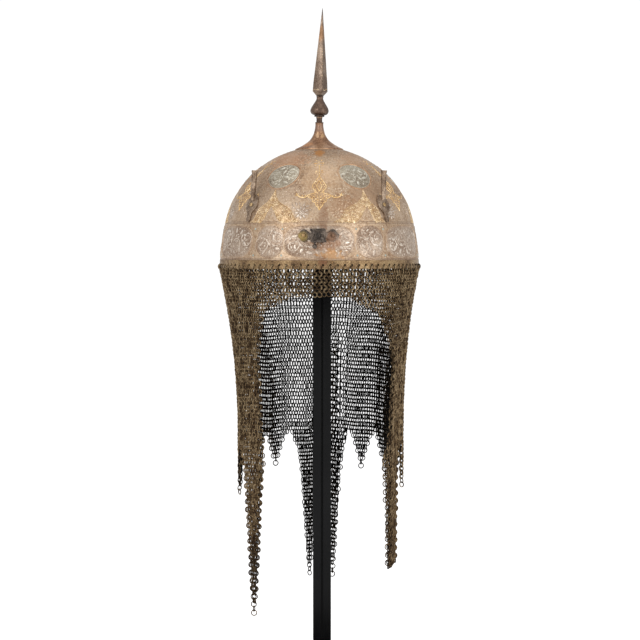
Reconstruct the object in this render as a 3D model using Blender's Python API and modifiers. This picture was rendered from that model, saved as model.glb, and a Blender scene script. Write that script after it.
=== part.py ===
"""Kulah khud: a steel dome with a spike, plume holders and mail, on a plain display stand.

Units are metres and +Z is up. The front of the helmet faces -Y. The origin is the middle
of the underside of the stand's foot.
"""

import math

import bmesh
import bpy
from mathutils import Matrix, Vector

# Layout
RIM_Z = 0.430                    # lower edge of the bowl above the ground
HELMET_X = -0.0028               # the helmet hangs a little to the left of its post
FIT_GAP = 0.0003                 # between pieces that touch
CURTAIN_SEAT_GAP = 0.0003        # between the rim and the top of the mail

# Bowl
BOWL_RADIUS = 0.104              # outside, at the rim
BOWL_HEIGHT = 0.127              # outside, rim to crown
BOWL_WALL = 0.0016
BOWL_STEPS = 44
RIM_HOLES = 88
RIM_HOLE_RADIUS = 0.0012
RIM_HOLE_HEIGHT = 0.0039         # above the lower edge
# Height as a share of BOWL_HEIGHT, radius as a share of BOWL_RADIUS
BOWL_SHARES = (
    (0.000, 1.000), (0.165, 0.989), (0.264, 0.971), (0.364, 0.949), (0.463, 0.914),
    (0.562, 0.863), (0.661, 0.788), (0.760, 0.688), (0.860, 0.537), (0.909, 0.434),
    (0.959, 0.2825), (0.9925, 0.120), (1.000, 0.000),
)

# Finial: a trumpet riveted on the crown, a pear-shaped bulb and a four-sided spike
FINIAL_STEPS = 24
FLARE_RADIUS = 0.0252
FLARE_EDGE = 0.0009              # thickness of the flare's edge
TRUMPET_HEIGHT = 0.0305          # crown to the top of the neck
TRUMPET_NECK_RADIUS = 0.0031
TANG_RADIUS = 0.0040
TANG_LENGTH = 0.0075             # below the crown's outside
NUT_RADIUS = 0.0070
NUT_HEIGHT = 0.0035
PIN_RADIUS = 0.0015              # pins that join bulb to trumpet and spike to bulb
PIN_LENGTH = 0.0050
PIN_CLEARANCE = 0.0004
BULB_RADIUS = 0.0096
BULB_HEIGHT = 0.0205
SPIKE_LENGTH = 0.0920
SPIKE_SIDE = 0.0117
SPIKE_BEVEL = 0.0052             # height of the bevel under the spike's widest part
SPIKE_FOOT_RADIUS = 0.0034
SPIKE_TURN = math.radians(16.0)
FINIAL_LEAN = math.radians(1.7)  # bulb and spike lean to the right
# Height above the crown as a share of TRUMPET_HEIGHT, radius as a share of FLARE_RADIUS
TRUMPET_SHARES = (
    (0.79, 0.165), (0.72, 0.165), (0.61, 0.180), (0.51, 0.205), (0.41, 0.240),
    (0.31, 0.305), (0.20, 0.405), (0.10, 0.555), (0.00, 0.750),
)
# Height as a share of BULB_HEIGHT, radius as a share of BULB_RADIUS
BULB_SHARES = (
    (1.00, 0.360), (0.90, 0.370), (0.77, 0.500), (0.62, 0.700), (0.47, 0.890),
    (0.31, 1.000), (0.18, 0.930), (0.10, 0.740), (0.08, 0.550), (0.00, 0.540),
)

# Plume holders: a tube on a leaf-shaped plate with a tail, one on each side of the front
PLUME_AZIMUTH = {"left": math.radians(46.8), "right": math.radians(44.0)}
PLUME_LEAN = {"left": math.radians(5.5), "right": math.radians(-2.5)}
PLUME_TOP_Z = 0.0996             # above the rim's lower edge
PLUME_FOOT_Z = 0.0690            # where the tube's axis meets the leaf's outside
PLUME_TUBE_RADIUS = 0.0027
PLUME_LIP_RADIUS = 0.0032
PLUME_LIP_HEIGHT = 0.0012
PLUME_LIP_SLOPE = 0.0018         # height over which the lip runs into the tube
PLUME_BORE_RADIUS = 0.0020
PLUME_BORE_DEPTH = 0.0200
PLUME_FOOT_RADIUS = 0.0016
PLUME_STEPS = 14
PLATE_THICKNESS = 0.0018
LEAF_RIVET_Z = 0.0640
LEAF_WIDTH = 0.0160
LEAF_RISE = 0.0110               # from the rivet up to the leaf's top
TAIL_LENGTH = 0.0165             # from the rivet down to the tail's end
# Half of the leaf: across as a share of half LEAF_WIDTH, up or down as a share of
# LEAF_RISE (above) or TAIL_LENGTH (below)
LEAF_SHARES = ((0.30, 0.95), (0.85, 0.50), (0.95, -0.10), (0.34, -0.48), (0.20, -0.97))

# Rivets
RIVET_HEAD_RADIUS = 0.0021
RIVET_HEAD_HEIGHT = 0.0013
RIVET_SHANK_RADIUS = 0.0010
RIVET_TAIL_RADIUS = 0.0019
RIVET_TAIL_HEIGHT = 0.0007
RIVET_CLEARANCE = 0.0003
RIVET_STEPS = 10

# Nasal bracket: a staple with two lugs, and a wing screw through its face
NASAL_Z = 0.0335                 # middle of the staple above the rim's lower edge
NASAL_X = -0.0010
STAPLE_WIDTH = 0.0150
STAPLE_HEIGHT = 0.0140
STAPLE_FACE = 0.0024             # thickness of the front wall
STAPLE_CHEEK = 0.0026            # thickness of each side wall
STAPLE_ROUND = 0.0012
SLOT_DEPTH = 0.0047              # from the bowl at the staple's foot to the front wall
LUG_REACH = 0.0208               # from the middle to a lug's tip
LUG_HEIGHT = 0.0125
LUG_RIVET_X = 0.0148
KNOB_RADIUS = 0.0024
KNOB_DROP = 0.0040               # below the staple's foot
KNOB_X = -0.0035
# Half of the strap's upper edge: across as a share of LUG_REACH, up as a share of half
# LUG_HEIGHT
LUG_SHARES = ((0.20, 0.62), (0.42, 0.50), (0.58, 0.90), (0.74, 1.00), (0.90, 0.52))
SCREW_RADIUS = 0.0019
SCREW_CLEARANCE = 0.00015
SCREW_TIP = 0.0003               # how far the screw's end stands into the slot
SCREW_COLLAR_RADIUS = 0.0032
SCREW_COLLAR_HEIGHT = 0.0016
SCREW_HUB_RADIUS = 0.0024
SCREW_HUB_HEIGHT = 0.0046
WING_SPAN = 0.0206
WING_HEIGHT = 0.0062
WING_THICKNESS = 0.0022
WING_TURN = math.radians(-38.0)  # at rest the wings lie from upper left to lower right
SCREW_STEPS = 16
# Quarter of the wings: across as a share of half WING_SPAN, out as a share of WING_HEIGHT
WING_SHARES = ((0.18, 0.30), (0.45, 0.18), (0.80, 0.28), (1.00, 0.62), (0.80, 0.98),
               (0.45, 0.86), (0.18, 0.70))

# Mail curtain: angles are measured round the rim from the middle of the back
CURTAIN_WALL = 0.0024
CURTAIN_DROP = 0.1727            # rim to the notches between the points
CURTAIN_LOW_RADIUS = 0.0845
CURTAIN_DRAW_IN_POWER = 1.95
EDGE_DEG = 145.0                 # the face opening's edge, at the rim
EDGE_GATHER = 0.09               # share by which the mail draws back from the face
EDGE_GATHER_FROM = 0.12          # as shares of CURTAIN_DROP
EDGE_GATHER_TO = 0.62
BROW_DROP = 0.0284               # lower edge of the strip across the brow
CORNER_DROP = 0.0440             # where the arch over the face meets the side edges
CORNER_DEG = 163.0               # where the arch becomes level
FOLD_DEPTH = 0.0022
FOLD_COUNT = 9
TIP_SHARE = 0.14                 # width of a point's tip as a share of its root
LONG_POINT = 0.1790
LONG_GATHER = 0.30               # long points hang drawn together like a rope
# Each point: its edges in degrees, and its length left and right as a share of LONG_POINT
POINTS = (
    (0.0, 24.5, 0.900, 0.900),
    (24.5, 49.0, 0.215, 0.235),
    (49.0, 73.5, 0.225, 0.225),
    (73.5, 98.0, 0.260, 0.260),
    (98.0, 120.5, 0.268, 0.275),
    (120.5, 145.0, 1.000, 0.765),
)
POINT_CELLS = 3

# Stand
HEAD_RADIUS = 0.0580
HEAD_THICKNESS = 0.0050
HEAD_RECESS_RADIUS = 0.0105
HEAD_HUB_RADIUS = 0.0170
HEAD_HUB_DROP = 0.0340           # from the crown down to the hub's underside
SOCKET_DEPTH = 0.0140
POST_WIDTH = 0.0190
POST_DEPTH = 0.0120
GROOVE_WIDTH = 0.0016
GROOVE_DEPTH = 0.0012
FOOT_SIDE = 0.2400
FOOT_THICKNESS = 0.0080
FOOT_CORNER = 0.0100


def new_collection(name):
    collection = bpy.data.collections.new(name)
    bpy.context.scene.collection.children.link(collection)
    return collection


def new_material(name, colour, roughness, metallic):
    material = bpy.data.materials.new(name)
    material.use_nodes = True
    shader = material.node_tree.nodes["Principled BSDF"]
    shader.inputs["Base Color"].default_value = (*colour, 1.0)
    shader.inputs["Roughness"].default_value = roughness
    shader.inputs["Metallic"].default_value = metallic
    return material


for old in list(bpy.data.objects):
    bpy.data.objects.remove(old, do_unlink=True)

HELMET = new_collection("kulah_khud_on_stand")
CUTTERS = new_collection("cutters")

STEEL = new_material("patinated_steel", (0.36, 0.25, 0.17), 0.42, 0.85)
DARK_STEEL = new_material("dark_steel", (0.13, 0.105, 0.09), 0.45, 0.85)
RIVET_METAL = new_material("brassy_rivet", (0.38, 0.27, 0.12), 0.40, 0.90)
MAIL_METAL = new_material("brown_mail", (0.10, 0.075, 0.05), 0.50, 0.80)
BLACK_PAINT = new_material("black_paint", (0.012, 0.012, 0.013), 0.50, 0.0)


def smoothstep(low, high, value):
    t = min(max((value - low) / (high - low), 0.0), 1.0)
    return t * t * (3.0 - 2.0 * t)


def place(thing, parent, location=(0.0, 0.0, 0.0), rotation=(0.0, 0.0, 0.0)):
    thing.parent = parent
    thing.location = location
    thing.rotation_euler = rotation
    return thing


def new_empty(name, parent=None, location=(0.0, 0.0, 0.0), rotation=(0.0, 0.0, 0.0)):
    empty = bpy.data.objects.new(name, None)
    HELMET.objects.link(empty)
    return place(empty, parent, location, rotation)


def new_object(name, mesh, collection, material=None):
    thing = bpy.data.objects.new(name, mesh)
    collection.objects.link(thing)
    if material is not None:
        mesh.materials.append(material)
    if collection is CUTTERS:
        thing.hide_render = True
        thing.display_type = "WIRE"
    return thing


def mesh_from(name, build):
    """A mesh made by a function that fills a bmesh."""
    mesh = bpy.data.meshes.new(name)
    work = bmesh.new()
    build(work)
    work.to_mesh(mesh)
    work.free()
    return mesh


def turned(name, profile, steps, collection, material=None, ring=False):
    """A solid of revolution about Z. The profile runs down its outer side."""
    def build(work):
        corners = [work.verts.new((radius, 0.0, height)) for radius, height in profile]
        for first, second in zip(corners, corners[1:]):
            work.edges.new((first, second))
        if ring:
            work.edges.new((corners[-1], corners[0]))

    thing = new_object(name, mesh_from(name, build), collection, material)
    screw = thing.modifiers.new("turn", "SCREW")
    screw.angle = 2.0 * math.pi
    screw.steps = steps
    screw.render_steps = steps
    screw.use_merge_vertices = True
    screw.merge_threshold = 0.00001
    screw.use_smooth_shade = steps > 6
    return thing


def box(name, size, centre, collection, material=None):
    def build(work):
        stretch = Matrix.Translation(centre) @ Matrix.Diagonal((*size, 1.0))
        bmesh.ops.create_cube(work, size=1.0, matrix=stretch)

    return new_object(name, mesh_from(name, build), collection, material)


def rods(name, frames, radius, low, high, sides, collection):
    """Cylinders along the Z axes of several frames, as one cutter."""
    def build(work):
        for frame in frames:
            middle = frame @ Matrix.Translation((0.0, 0.0, (low + high) / 2.0))
            bmesh.ops.create_cone(work, cap_ends=True, segments=sides, radius1=radius,
                                  radius2=radius, depth=high - low, matrix=middle)

    return new_object(name, mesh_from(name, build), collection)


def outline_plate(name, points, y_from, y_to, collection, material=None, resolution=3):
    """A smooth closed outline in XZ, extruded from y_from to y_to."""
    curve = bpy.data.curves.new(name, "CURVE")
    curve.dimensions = "2D"
    curve.fill_mode = "BOTH"
    curve.extrude = abs(y_to - y_from) / 2.0
    curve.resolution_u = resolution
    spline = curve.splines.new("BEZIER")
    spline.bezier_points.add(len(points) - 1)
    spline.use_cyclic_u = True
    for corner, (across, up) in zip(spline.bezier_points, points):
        corner.co = (across, up, 0.0)
        corner.handle_left_type = "AUTO"
        corner.handle_right_type = "AUTO"
    guide = bpy.data.objects.new(name + "_outline", curve)
    CUTTERS.objects.link(guide)
    graph = bpy.context.evaluated_depsgraph_get()
    mesh = bpy.data.meshes.new_from_object(guide.evaluated_get(graph))
    bpy.data.objects.remove(guide, do_unlink=True)
    mesh.name = name
    work = bmesh.new()
    work.from_mesh(mesh)
    bmesh.ops.remove_doubles(work, verts=work.verts, dist=0.000001)
    upright = Matrix.Rotation(math.pi / 2.0, 4, "X")
    middle = Matrix.Translation((0.0, (y_from + y_to) / 2.0, 0.0))
    bmesh.ops.transform(work, matrix=middle @ upright, verts=work.verts)
    bmesh.ops.recalc_face_normals(work, faces=work.faces)
    work.to_mesh(mesh)
    work.free()
    return new_object(name, mesh, collection, material)


def combine(thing, operation, other):
    step = thing.modifiers.new(operation.lower() + "_" + other.name, "BOOLEAN")
    step.operation = operation
    step.solver = "EXACT"
    step.object = other
    return thing


def outer_profile():
    """Radius and height of the bowl's outside, crown first."""
    return [(radius * BOWL_RADIUS, height * BOWL_HEIGHT)
            for height, radius in reversed(BOWL_SHARES)]


def moved_profile(profile, distance):
    """The profile moved outwards, each straight stretch staying parallel to itself."""
    moved = []
    for index, (radius, height) in enumerate(profile):
        normals = []
        for first in (index - 1, index):
            if 0 <= first < len(profile) - 1:
                (r0, z0), (r1, z1) = profile[first], profile[first + 1]
                length = math.hypot(r1 - r0, z1 - z0)
                normals.append(Vector(((z0 - z1) / length, (r1 - r0) / length)))
        if radius == 0.0:
            normals = [Vector((0.0, 1.0))]
        middle = sum(normals, Vector((0.0, 0.0))).normalized()
        reach = distance / middle.dot(normals[0])
        moved.append((radius + middle.x * reach, height + middle.y * reach))
    return moved


def height_at(profile, radius):
    for (r0, z0), (r1, z1) in zip(profile, profile[1:]):
        if r0 <= radius <= r1:
            return z0 + (z1 - z0) * (radius - r0) / (r1 - r0)
    return profile[-1][1]


def radius_at(profile, height):
    for (r0, z0), (r1, z1) in zip(profile, profile[1:]):
        if z1 <= height <= z0:
            return r0 + (r1 - r0) * (height - z0) / (z1 - z0)
    return profile[-1][0]


def crown_part(profile, low_radius, high_radius):
    """The stretch of a profile between two radii, inner end first."""
    inside = [point for point in profile if low_radius < point[0] < high_radius]
    return ([(low_radius, height_at(profile, low_radius))] + inside
            + [(high_radius, height_at(profile, high_radius))])


def surface_frame(azimuth, height):
    """A frame on the bowl's outside with Z pointing out. Azimuth 0 is the front."""
    outer = outer_profile()
    step = RIVET_HEAD_RADIUS
    radius = radius_at(outer, height)
    slope = radius_at(outer, height + step) - radius_at(outer, height - step)
    normal = Vector((0.0, -2.0 * step, -slope)).normalized()
    turn = normal.to_track_quat("Z", "X").to_matrix().to_4x4()
    spot = Matrix.Translation((0.0, -radius, height))
    return Matrix.Rotation(azimuth, 4, "Z") @ spot @ turn


def bowl_envelope(name, distance):
    """Everything within the bowl's outside moved outwards, down past the rim."""
    profile = moved_profile(outer_profile(), distance)
    floor = -2.0 * RIM_HOLE_HEIGHT
    profile = profile + [(profile[-1][0], floor), (0.0, floor)]
    return turned(name, profile, BOWL_STEPS, CUTTERS)


helmet = new_empty("helmet_frame", None, (HELMET_X, 0.0, RIM_Z))
OUTER = outer_profile()
INNER = moved_profile(OUTER, -BOWL_WALL)
NEAR_SKIN = place(bowl_envelope("skin_near", FIT_GAP), helmet)
FAR_SKIN = place(bowl_envelope("skin_far", FIT_GAP + PLATE_THICKNESS), helmet)

PLUME_SIGN = {"left": -1.0, "right": 1.0}
LUG_SIGN = {"left": -1.0, "right": 1.0}


def plume_azimuth(side):
    return PLUME_SIGN[side] * PLUME_AZIMUTH[side]


def nasal_azimuth():
    return math.asin(NASAL_X / BOWL_RADIUS)


def lug_azimuth(side):
    return nasal_azimuth() + LUG_SIGN[side] * math.asin(LUG_RIVET_X / BOWL_RADIUS)


def rivet_frames():
    frames = {"plume_rivet_" + side: surface_frame(plume_azimuth(side), LEAF_RIVET_Z)
              for side in ("left", "right")}
    for side in ("left", "right"):
        frames["nasal_rivet_" + side] = surface_frame(lug_azimuth(side), NASAL_Z)
    return frames


def rim_hole_frames():
    level = Matrix.Rotation(math.pi / 2.0, 4, "X")
    spot = Matrix.Translation((0.0, 0.0, RIM_HOLE_HEIGHT))
    pitch = 2.0 * math.pi / RIM_HOLES
    return [Matrix.Rotation((index + 0.5) * pitch, 4, "Z") @ spot @ level
            for index in range(RIM_HOLES)]


def make_bowl():
    crown_hole = TANG_RADIUS + FIT_GAP
    outside = crown_part(OUTER, crown_hole, BOWL_RADIUS)
    outside[-1] = OUTER[-1]
    inside = [point for point in INNER[:-1] if point[0] > crown_hole]
    inside = [(crown_hole, height_at(INNER, crown_hole))] + inside
    rim_inside = (BOWL_RADIUS - BOWL_WALL, 0.0)
    profile = outside + [rim_inside] + inside[::-1]
    bowl = place(turned("bowl", profile, BOWL_STEPS, HELMET, STEEL, ring=True), helmet)
    holes = rods("rim_holes", rim_hole_frames(), RIM_HOLE_RADIUS,
                 BOWL_RADIUS - 3.0 * BOWL_WALL, BOWL_RADIUS + BOWL_WALL, 6, CUTTERS)
    combine(bowl, "DIFFERENCE", place(holes, helmet))
    combine(bowl, "DIFFERENCE", RIVET_HOLES)


def make_rivet(name, frame):
    top = FIT_GAP + PLATE_THICKNESS + FIT_GAP
    bottom = -BOWL_WALL - FIT_GAP
    profile = [
        (0.0, top + RIVET_HEAD_HEIGHT),
        (0.62 * RIVET_HEAD_RADIUS, top + 0.80 * RIVET_HEAD_HEIGHT),
        (0.94 * RIVET_HEAD_RADIUS, top + 0.36 * RIVET_HEAD_HEIGHT),
        (RIVET_HEAD_RADIUS, top),
        (RIVET_SHANK_RADIUS, top),
        (RIVET_SHANK_RADIUS, bottom),
        (RIVET_TAIL_RADIUS, bottom),
        (RIVET_TAIL_RADIUS, bottom - RIVET_TAIL_HEIGHT),
        (0.0, bottom - RIVET_TAIL_HEIGHT),
    ]
    rivet = turned(name, profile, RIVET_STEPS, HELMET, RIVET_METAL)
    place(rivet, helmet, frame.to_translation(), frame.to_euler())


def make_trumpet():
    """The flared foot of the finial, with its tang through the crown."""
    skin = moved_profile(OUTER, FIT_GAP)
    edge_z = height_at(skin, FLARE_RADIUS)
    neck_top = BOWL_HEIGHT + TRUMPET_HEIGHT
    socket = PIN_RADIUS + PIN_CLEARANCE
    profile = [
        (0.0, neck_top - PIN_LENGTH - PIN_CLEARANCE),
        (socket, neck_top - PIN_LENGTH - PIN_CLEARANCE),
        (socket, neck_top),
        (TRUMPET_NECK_RADIUS, neck_top),
        (TRUMPET_NECK_RADIUS, BOWL_HEIGHT + TRUMPET_SHARES[0][0] * TRUMPET_HEIGHT),
    ]
    profile += [(radius * FLARE_RADIUS, BOWL_HEIGHT + height * TRUMPET_HEIGHT)
                for height, radius in TRUMPET_SHARES]
    profile += [(FLARE_RADIUS, edge_z + FLARE_EDGE), (FLARE_RADIUS, edge_z)]
    under = crown_part(skin, TANG_RADIUS, FLARE_RADIUS)[:-1]
    profile += under[::-1]
    profile += [(TANG_RADIUS, BOWL_HEIGHT - TANG_LENGTH), (0.0, BOWL_HEIGHT - TANG_LENGTH)]
    place(turned("finial_trumpet", profile, FINIAL_STEPS, HELMET, STEEL), helmet)


def make_nut():
    """A six-sided nut that holds the tang inside the crown."""
    top = height_at(INNER, NUT_RADIUS) - FIT_GAP
    hole = (TANG_RADIUS + FIT_GAP) / math.cos(math.pi / 6.0)
    profile = [(hole, top), (NUT_RADIUS, top), (NUT_RADIUS, top - NUT_HEIGHT),
               (hole, top - NUT_HEIGHT)]
    place(turned("finial_nut", profile, 6, HELMET, DARK_STEEL, ring=True), helmet)


def make_bulb(lean):
    socket = PIN_RADIUS + PIN_CLEARANCE
    floor = BULB_HEIGHT - PIN_LENGTH - PIN_CLEARANCE
    profile = [(0.0, floor), (socket, floor), (socket, BULB_HEIGHT)]
    profile += [(radius * BULB_RADIUS, height * BULB_HEIGHT)
                for height, radius in BULB_SHARES]
    profile += [(PIN_RADIUS, 0.0), (PIN_RADIUS, -PIN_LENGTH), (0.0, -PIN_LENGTH)]
    place(turned("finial_bulb", profile, FINIAL_STEPS, HELMET, DARK_STEEL), lean,
          (0.0, 0.0, FIT_GAP))


def make_spike(lean):
    corner = SPIKE_SIDE / math.sqrt(2.0)
    foot = SPIKE_FOOT_RADIUS
    profile = [
        (0.0, SPIKE_LENGTH),
        (0.05 * corner, SPIKE_LENGTH - 0.001),
        (0.93 * corner, SPIKE_BEVEL + 0.0090),
        (corner, SPIKE_BEVEL),
        (foot, 0.0),
        (PIN_RADIUS, 0.0),
        (PIN_RADIUS, -PIN_LENGTH),
        (0.0, -PIN_LENGTH),
    ]
    place(turned("finial_spike", profile, 4, HELMET, DARK_STEEL), lean,
          (0.0, 0.0, BULB_HEIGHT + 2.0 * FIT_GAP), (0.0, 0.0, SPIKE_TURN))


def leaf_outline():
    half = []
    for across, up in LEAF_SHARES:
        rise = LEAF_RISE if up > 0.0 else TAIL_LENGTH
        half.append((across * LEAF_WIDTH / 2.0, LEAF_RIVET_Z + up * rise))
    return half + [(-across, up) for across, up in reversed(half)]


def make_plume_holder(side):
    """A blind tube whose tapered foot grows out of a riveted leaf."""
    name = "plume_holder_" + side
    lean = PLUME_LEAN[side]
    top = (PLUME_TOP_Z - PLUME_FOOT_Z) / math.cos(lean)
    foot_out = radius_at(moved_profile(OUTER, FIT_GAP + PLATE_THICKNESS), PLUME_FOOT_Z)
    profile = [
        (0.0, top - PLUME_BORE_DEPTH),
        (PLUME_BORE_RADIUS, top - PLUME_BORE_DEPTH),
        (PLUME_BORE_RADIUS, top),
        (PLUME_LIP_RADIUS, top),
        (PLUME_LIP_RADIUS, top - PLUME_LIP_HEIGHT),
        (PLUME_TUBE_RADIUS, top - PLUME_LIP_HEIGHT - PLUME_LIP_SLOPE),
        (PLUME_TUBE_RADIUS, top - PLUME_BORE_DEPTH),
        (PLUME_FOOT_RADIUS, 0.0),
        (0.0, 0.0),
    ]
    leaf = outline_plate(name, leaf_outline(), -1.2 * BOWL_RADIUS, -0.2 * BOWL_RADIUS,
                         HELMET, STEEL)
    place(leaf, helmet, rotation=(0.0, 0.0, plume_azimuth(side)))
    tube = place(turned(name + "_tube", profile, PLUME_STEPS, CUTTERS), leaf,
                 (0.0, -foot_out, PLUME_FOOT_Z), (-lean, 0.0, 0.0))
    combine(leaf, "INTERSECT", FAR_SKIN)
    combine(leaf, "UNION", tube)
    combine(leaf, "DIFFERENCE", NEAR_SKIN)
    combine(leaf, "DIFFERENCE", RIVET_HOLES)


def staple_face_y():
    """How far in front of the axis the inside of the staple's front wall stands."""
    skin = moved_profile(OUTER, FIT_GAP)
    return radius_at(skin, NASAL_Z - STAPLE_HEIGHT / 2.0) + SLOT_DEPTH


def strap_outline():
    right = [(across * LUG_REACH, up * LUG_HEIGHT / 2.0) for across, up in LUG_SHARES]
    upper = right + [(LUG_REACH, 0.0)] + [(across, -up) for across, up in right[::-1]]
    left = [(-across, up) for across, up in reversed(upper)]
    return [(across, NASAL_Z + up) for across, up in upper + left]


def make_nasal_bracket():
    """A staple for a nasal bar, with a lug on each side and a knob below."""
    bracket = outline_plate("nasal_bracket", strap_outline(), -1.2 * BOWL_RADIUS,
                            -0.8 * BOWL_RADIUS, HELMET, DARK_STEEL)
    place(bracket, helmet, rotation=(0.0, 0.0, nasal_azimuth()))
    face = staple_face_y()
    front = face + STAPLE_FACE
    back = 0.9 * BOWL_RADIUS
    staple = box("staple", (STAPLE_WIDTH, front - back, STAPLE_HEIGHT),
                 (0.0, -(front + back) / 2.0, NASAL_Z), CUTTERS)
    round_off = staple.modifiers.new("round", "BEVEL")
    round_off.width = STAPLE_ROUND
    round_off.segments = 2
    slot = box("slot", (STAPLE_WIDTH - 2.0 * STAPLE_CHEEK, face - back,
                        STAPLE_HEIGHT + LUG_HEIGHT), (0.0, -(face + back) / 2.0, NASAL_Z),
               CUTTERS)
    foot_z = NASAL_Z - STAPLE_HEIGHT / 2.0
    middle_y = -(face + STAPLE_FACE / 2.0)
    knob = turned("knob", [
        (0.0, 0.5 * STAPLE_FACE),
        (0.40 * KNOB_RADIUS, 0.5 * STAPLE_FACE),
        (0.40 * KNOB_RADIUS, KNOB_RADIUS - KNOB_DROP),
        (0.85 * KNOB_RADIUS, 0.6 * KNOB_RADIUS - KNOB_DROP),
        (KNOB_RADIUS, -KNOB_DROP),
        (0.75 * KNOB_RADIUS, -0.65 * KNOB_RADIUS - KNOB_DROP),
        (0.0, -KNOB_RADIUS - KNOB_DROP),
    ], 10, CUTTERS)
    level = Matrix.Rotation(math.pi / 2.0, 4, "X")
    hole = rods("screw_hole", [Matrix.Translation((0.0, 0.0, NASAL_Z)) @ level],
                SCREW_RADIUS + SCREW_CLEARANCE, face - STAPLE_FACE, front + STAPLE_FACE,
                SCREW_STEPS, CUTTERS)
    for piece in (staple, slot, hole):
        place(piece, bracket)
    place(knob, bracket, (KNOB_X, middle_y, foot_z))
    combine(bracket, "INTERSECT", FAR_SKIN)
    combine(bracket, "UNION", staple)
    combine(bracket, "DIFFERENCE", slot)
    combine(bracket, "UNION", knob)
    combine(bracket, "DIFFERENCE", NEAR_SKIN)
    combine(bracket, "DIFFERENCE", hole)
    combine(bracket, "DIFFERENCE", RIVET_HOLES)
    return bracket


def wing_outline(base):
    """Two lobes, joined across the hub."""
    right = [(across * WING_SPAN / 2.0, base + out * WING_HEIGHT)
             for across, out in WING_SHARES]
    return right + [(-across, out) for across, out in reversed(right)]


def make_nasal_screw(bracket):
    """A wing screw. Its origin is on its axis, at the inside of the staple's face."""
    seat = STAPLE_FACE + FIT_GAP
    collar = seat + SCREW_COLLAR_HEIGHT
    hub = collar + SCREW_HUB_HEIGHT
    profile = [
        (0.0, hub),
        (0.7 * SCREW_HUB_RADIUS, hub - 0.0003),
        (SCREW_HUB_RADIUS, hub - 0.0012),
        (SCREW_HUB_RADIUS, collar),
        (SCREW_COLLAR_RADIUS, collar - 0.0004),
        (SCREW_COLLAR_RADIUS, seat),
        (SCREW_RADIUS, seat),
        (SCREW_RADIUS, -SCREW_TIP),
        (0.0, -SCREW_TIP),
    ]
    screw = turned("nasal_screw", profile, SCREW_STEPS, HELMET, DARK_STEEL)
    wings = outline_plate("wings", wing_outline(seat), -WING_THICKNESS / 2.0,
                          WING_THICKNESS / 2.0, CUTTERS)
    place(screw, bracket, (0.0, -staple_face_y(), NASAL_Z), (math.pi / 2.0, 0.0, 0.0))
    screw.rotation_mode = "QUATERNION"
    out = Matrix.Rotation(math.pi / 2.0, 3, "X")
    screw.rotation_quaternion = (out @ Matrix.Rotation(WING_TURN, 3, "Z")).to_quaternion()
    combine(screw, "UNION", place(wings, screw))


def drape(angle_deg, drop):
    """Where the mail hangs: an angle at the rim and a drop below it give a point."""
    share = drop / CURTAIN_DROP
    gather = 1.0 - EDGE_GATHER * smoothstep(EDGE_GATHER_FROM, EDGE_GATHER_TO, share)
    size = abs(angle_deg)
    if size <= EDGE_DEG:
        angle = size * gather
    else:
        beyond = (size - EDGE_DEG) / (180.0 - EDGE_DEG)
        angle = EDGE_DEG * gather + (180.0 - EDGE_DEG * gather) * beyond
    angle = math.radians(math.copysign(angle, angle_deg))
    left = max(1.0 - share, 0.0) ** CURTAIN_DRAW_IN_POWER
    top_radius = BOWL_RADIUS - BOWL_WALL / 2.0
    radius = CURTAIN_LOW_RADIUS + (top_radius - CURTAIN_LOW_RADIUS) * left
    radius += FOLD_DEPTH * smoothstep(0.0, 1.0, share) * math.sin(FOLD_COUNT * angle)
    return Vector((radius * math.sin(angle), radius * math.cos(angle), -drop))


def lower_edge(angle_deg):
    """The brow strip's lower edge and the arch's corners, beyond EDGE_DEG."""
    t = (CORNER_DEG - abs(angle_deg)) / (CORNER_DEG - EDGE_DEG)
    return BROW_DROP + (CORNER_DROP - BROW_DROP) * min(max(t, 0.0), 1.0)


def patch(work, angles, drops, position):
    """A grid whose columns follow the angles and whose rows follow the drops."""
    made = bmesh.ops.create_grid(work, x_segments=len(angles) - 1,
                                 y_segments=len(drops) - 1, size=0.5)["verts"]
    for corner in made:
        column = round((corner.co.x + 0.5) * (len(angles) - 1))
        row = round((corner.co.y + 0.5) * (len(drops) - 1))
        corner.co = position(angles[column], drops[row])


def split(start, end, parts):
    return [start + (end - start) * index / parts for index in range(parts + 1)]


def side_angles():
    edges = [edge for point in POINTS for edge in split(point[0], point[1], POINT_CELLS)]
    return sorted(set(edges))


def build_curtain(work):
    top = CURTAIN_SEAT_GAP
    brow_rows = [top, BROW_DROP / 2.0, BROW_DROP, CORNER_DROP]
    arch = [EDGE_DEG, (EDGE_DEG + CORNER_DEG) / 2.0, CORNER_DEG,
            (CORNER_DEG + 180.0) / 2.0, 180.0]
    wall_rows = brow_rows + split(CORNER_DROP, CURTAIN_DROP, 5)[1:]

    def brow(angle, drop):
        return drape(angle, min(drop, lower_edge(angle)))

    for side, sign in (("left", -1.0), ("right", 1.0)):
        around = [sign * angle for angle in side_angles()]
        patch(work, around[::int(sign)], wall_rows, drape)
        patch(work, [sign * angle for angle in arch][::int(sign)], brow_rows, brow)
        for start, end, left_share, right_share in POINTS:
            share = left_share if side == "left" else right_share
            length = share * LONG_POINT
            rows = (0.0, 0.12, 0.3, 0.6, 1.0) if share > 0.5 else (0.0, 0.5, 1.0)
            gather = LONG_GATHER if share > 0.5 else 0.0
            tip = sign * (start + end) / 2.0

            def tapered(angle, down, tip=tip, length=length, gather=gather):
                width = 1.0 - (1.0 - TIP_SHARE) * down
                width *= 1.0 - gather * smoothstep(0.0, 0.3, down)
                return drape(tip + (angle - tip) * width, CURTAIN_DROP + down * length)

            cells = [sign * angle for angle in split(start, end, POINT_CELLS)]
            patch(work, cells[::int(sign)], rows, tapered)
    bmesh.ops.remove_doubles(work, verts=work.verts, dist=0.00005)
    bmesh.ops.dissolve_degenerate(work, edges=work.edges, dist=0.00005)
    bmesh.ops.recalc_face_normals(work, faces=work.faces)


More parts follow.
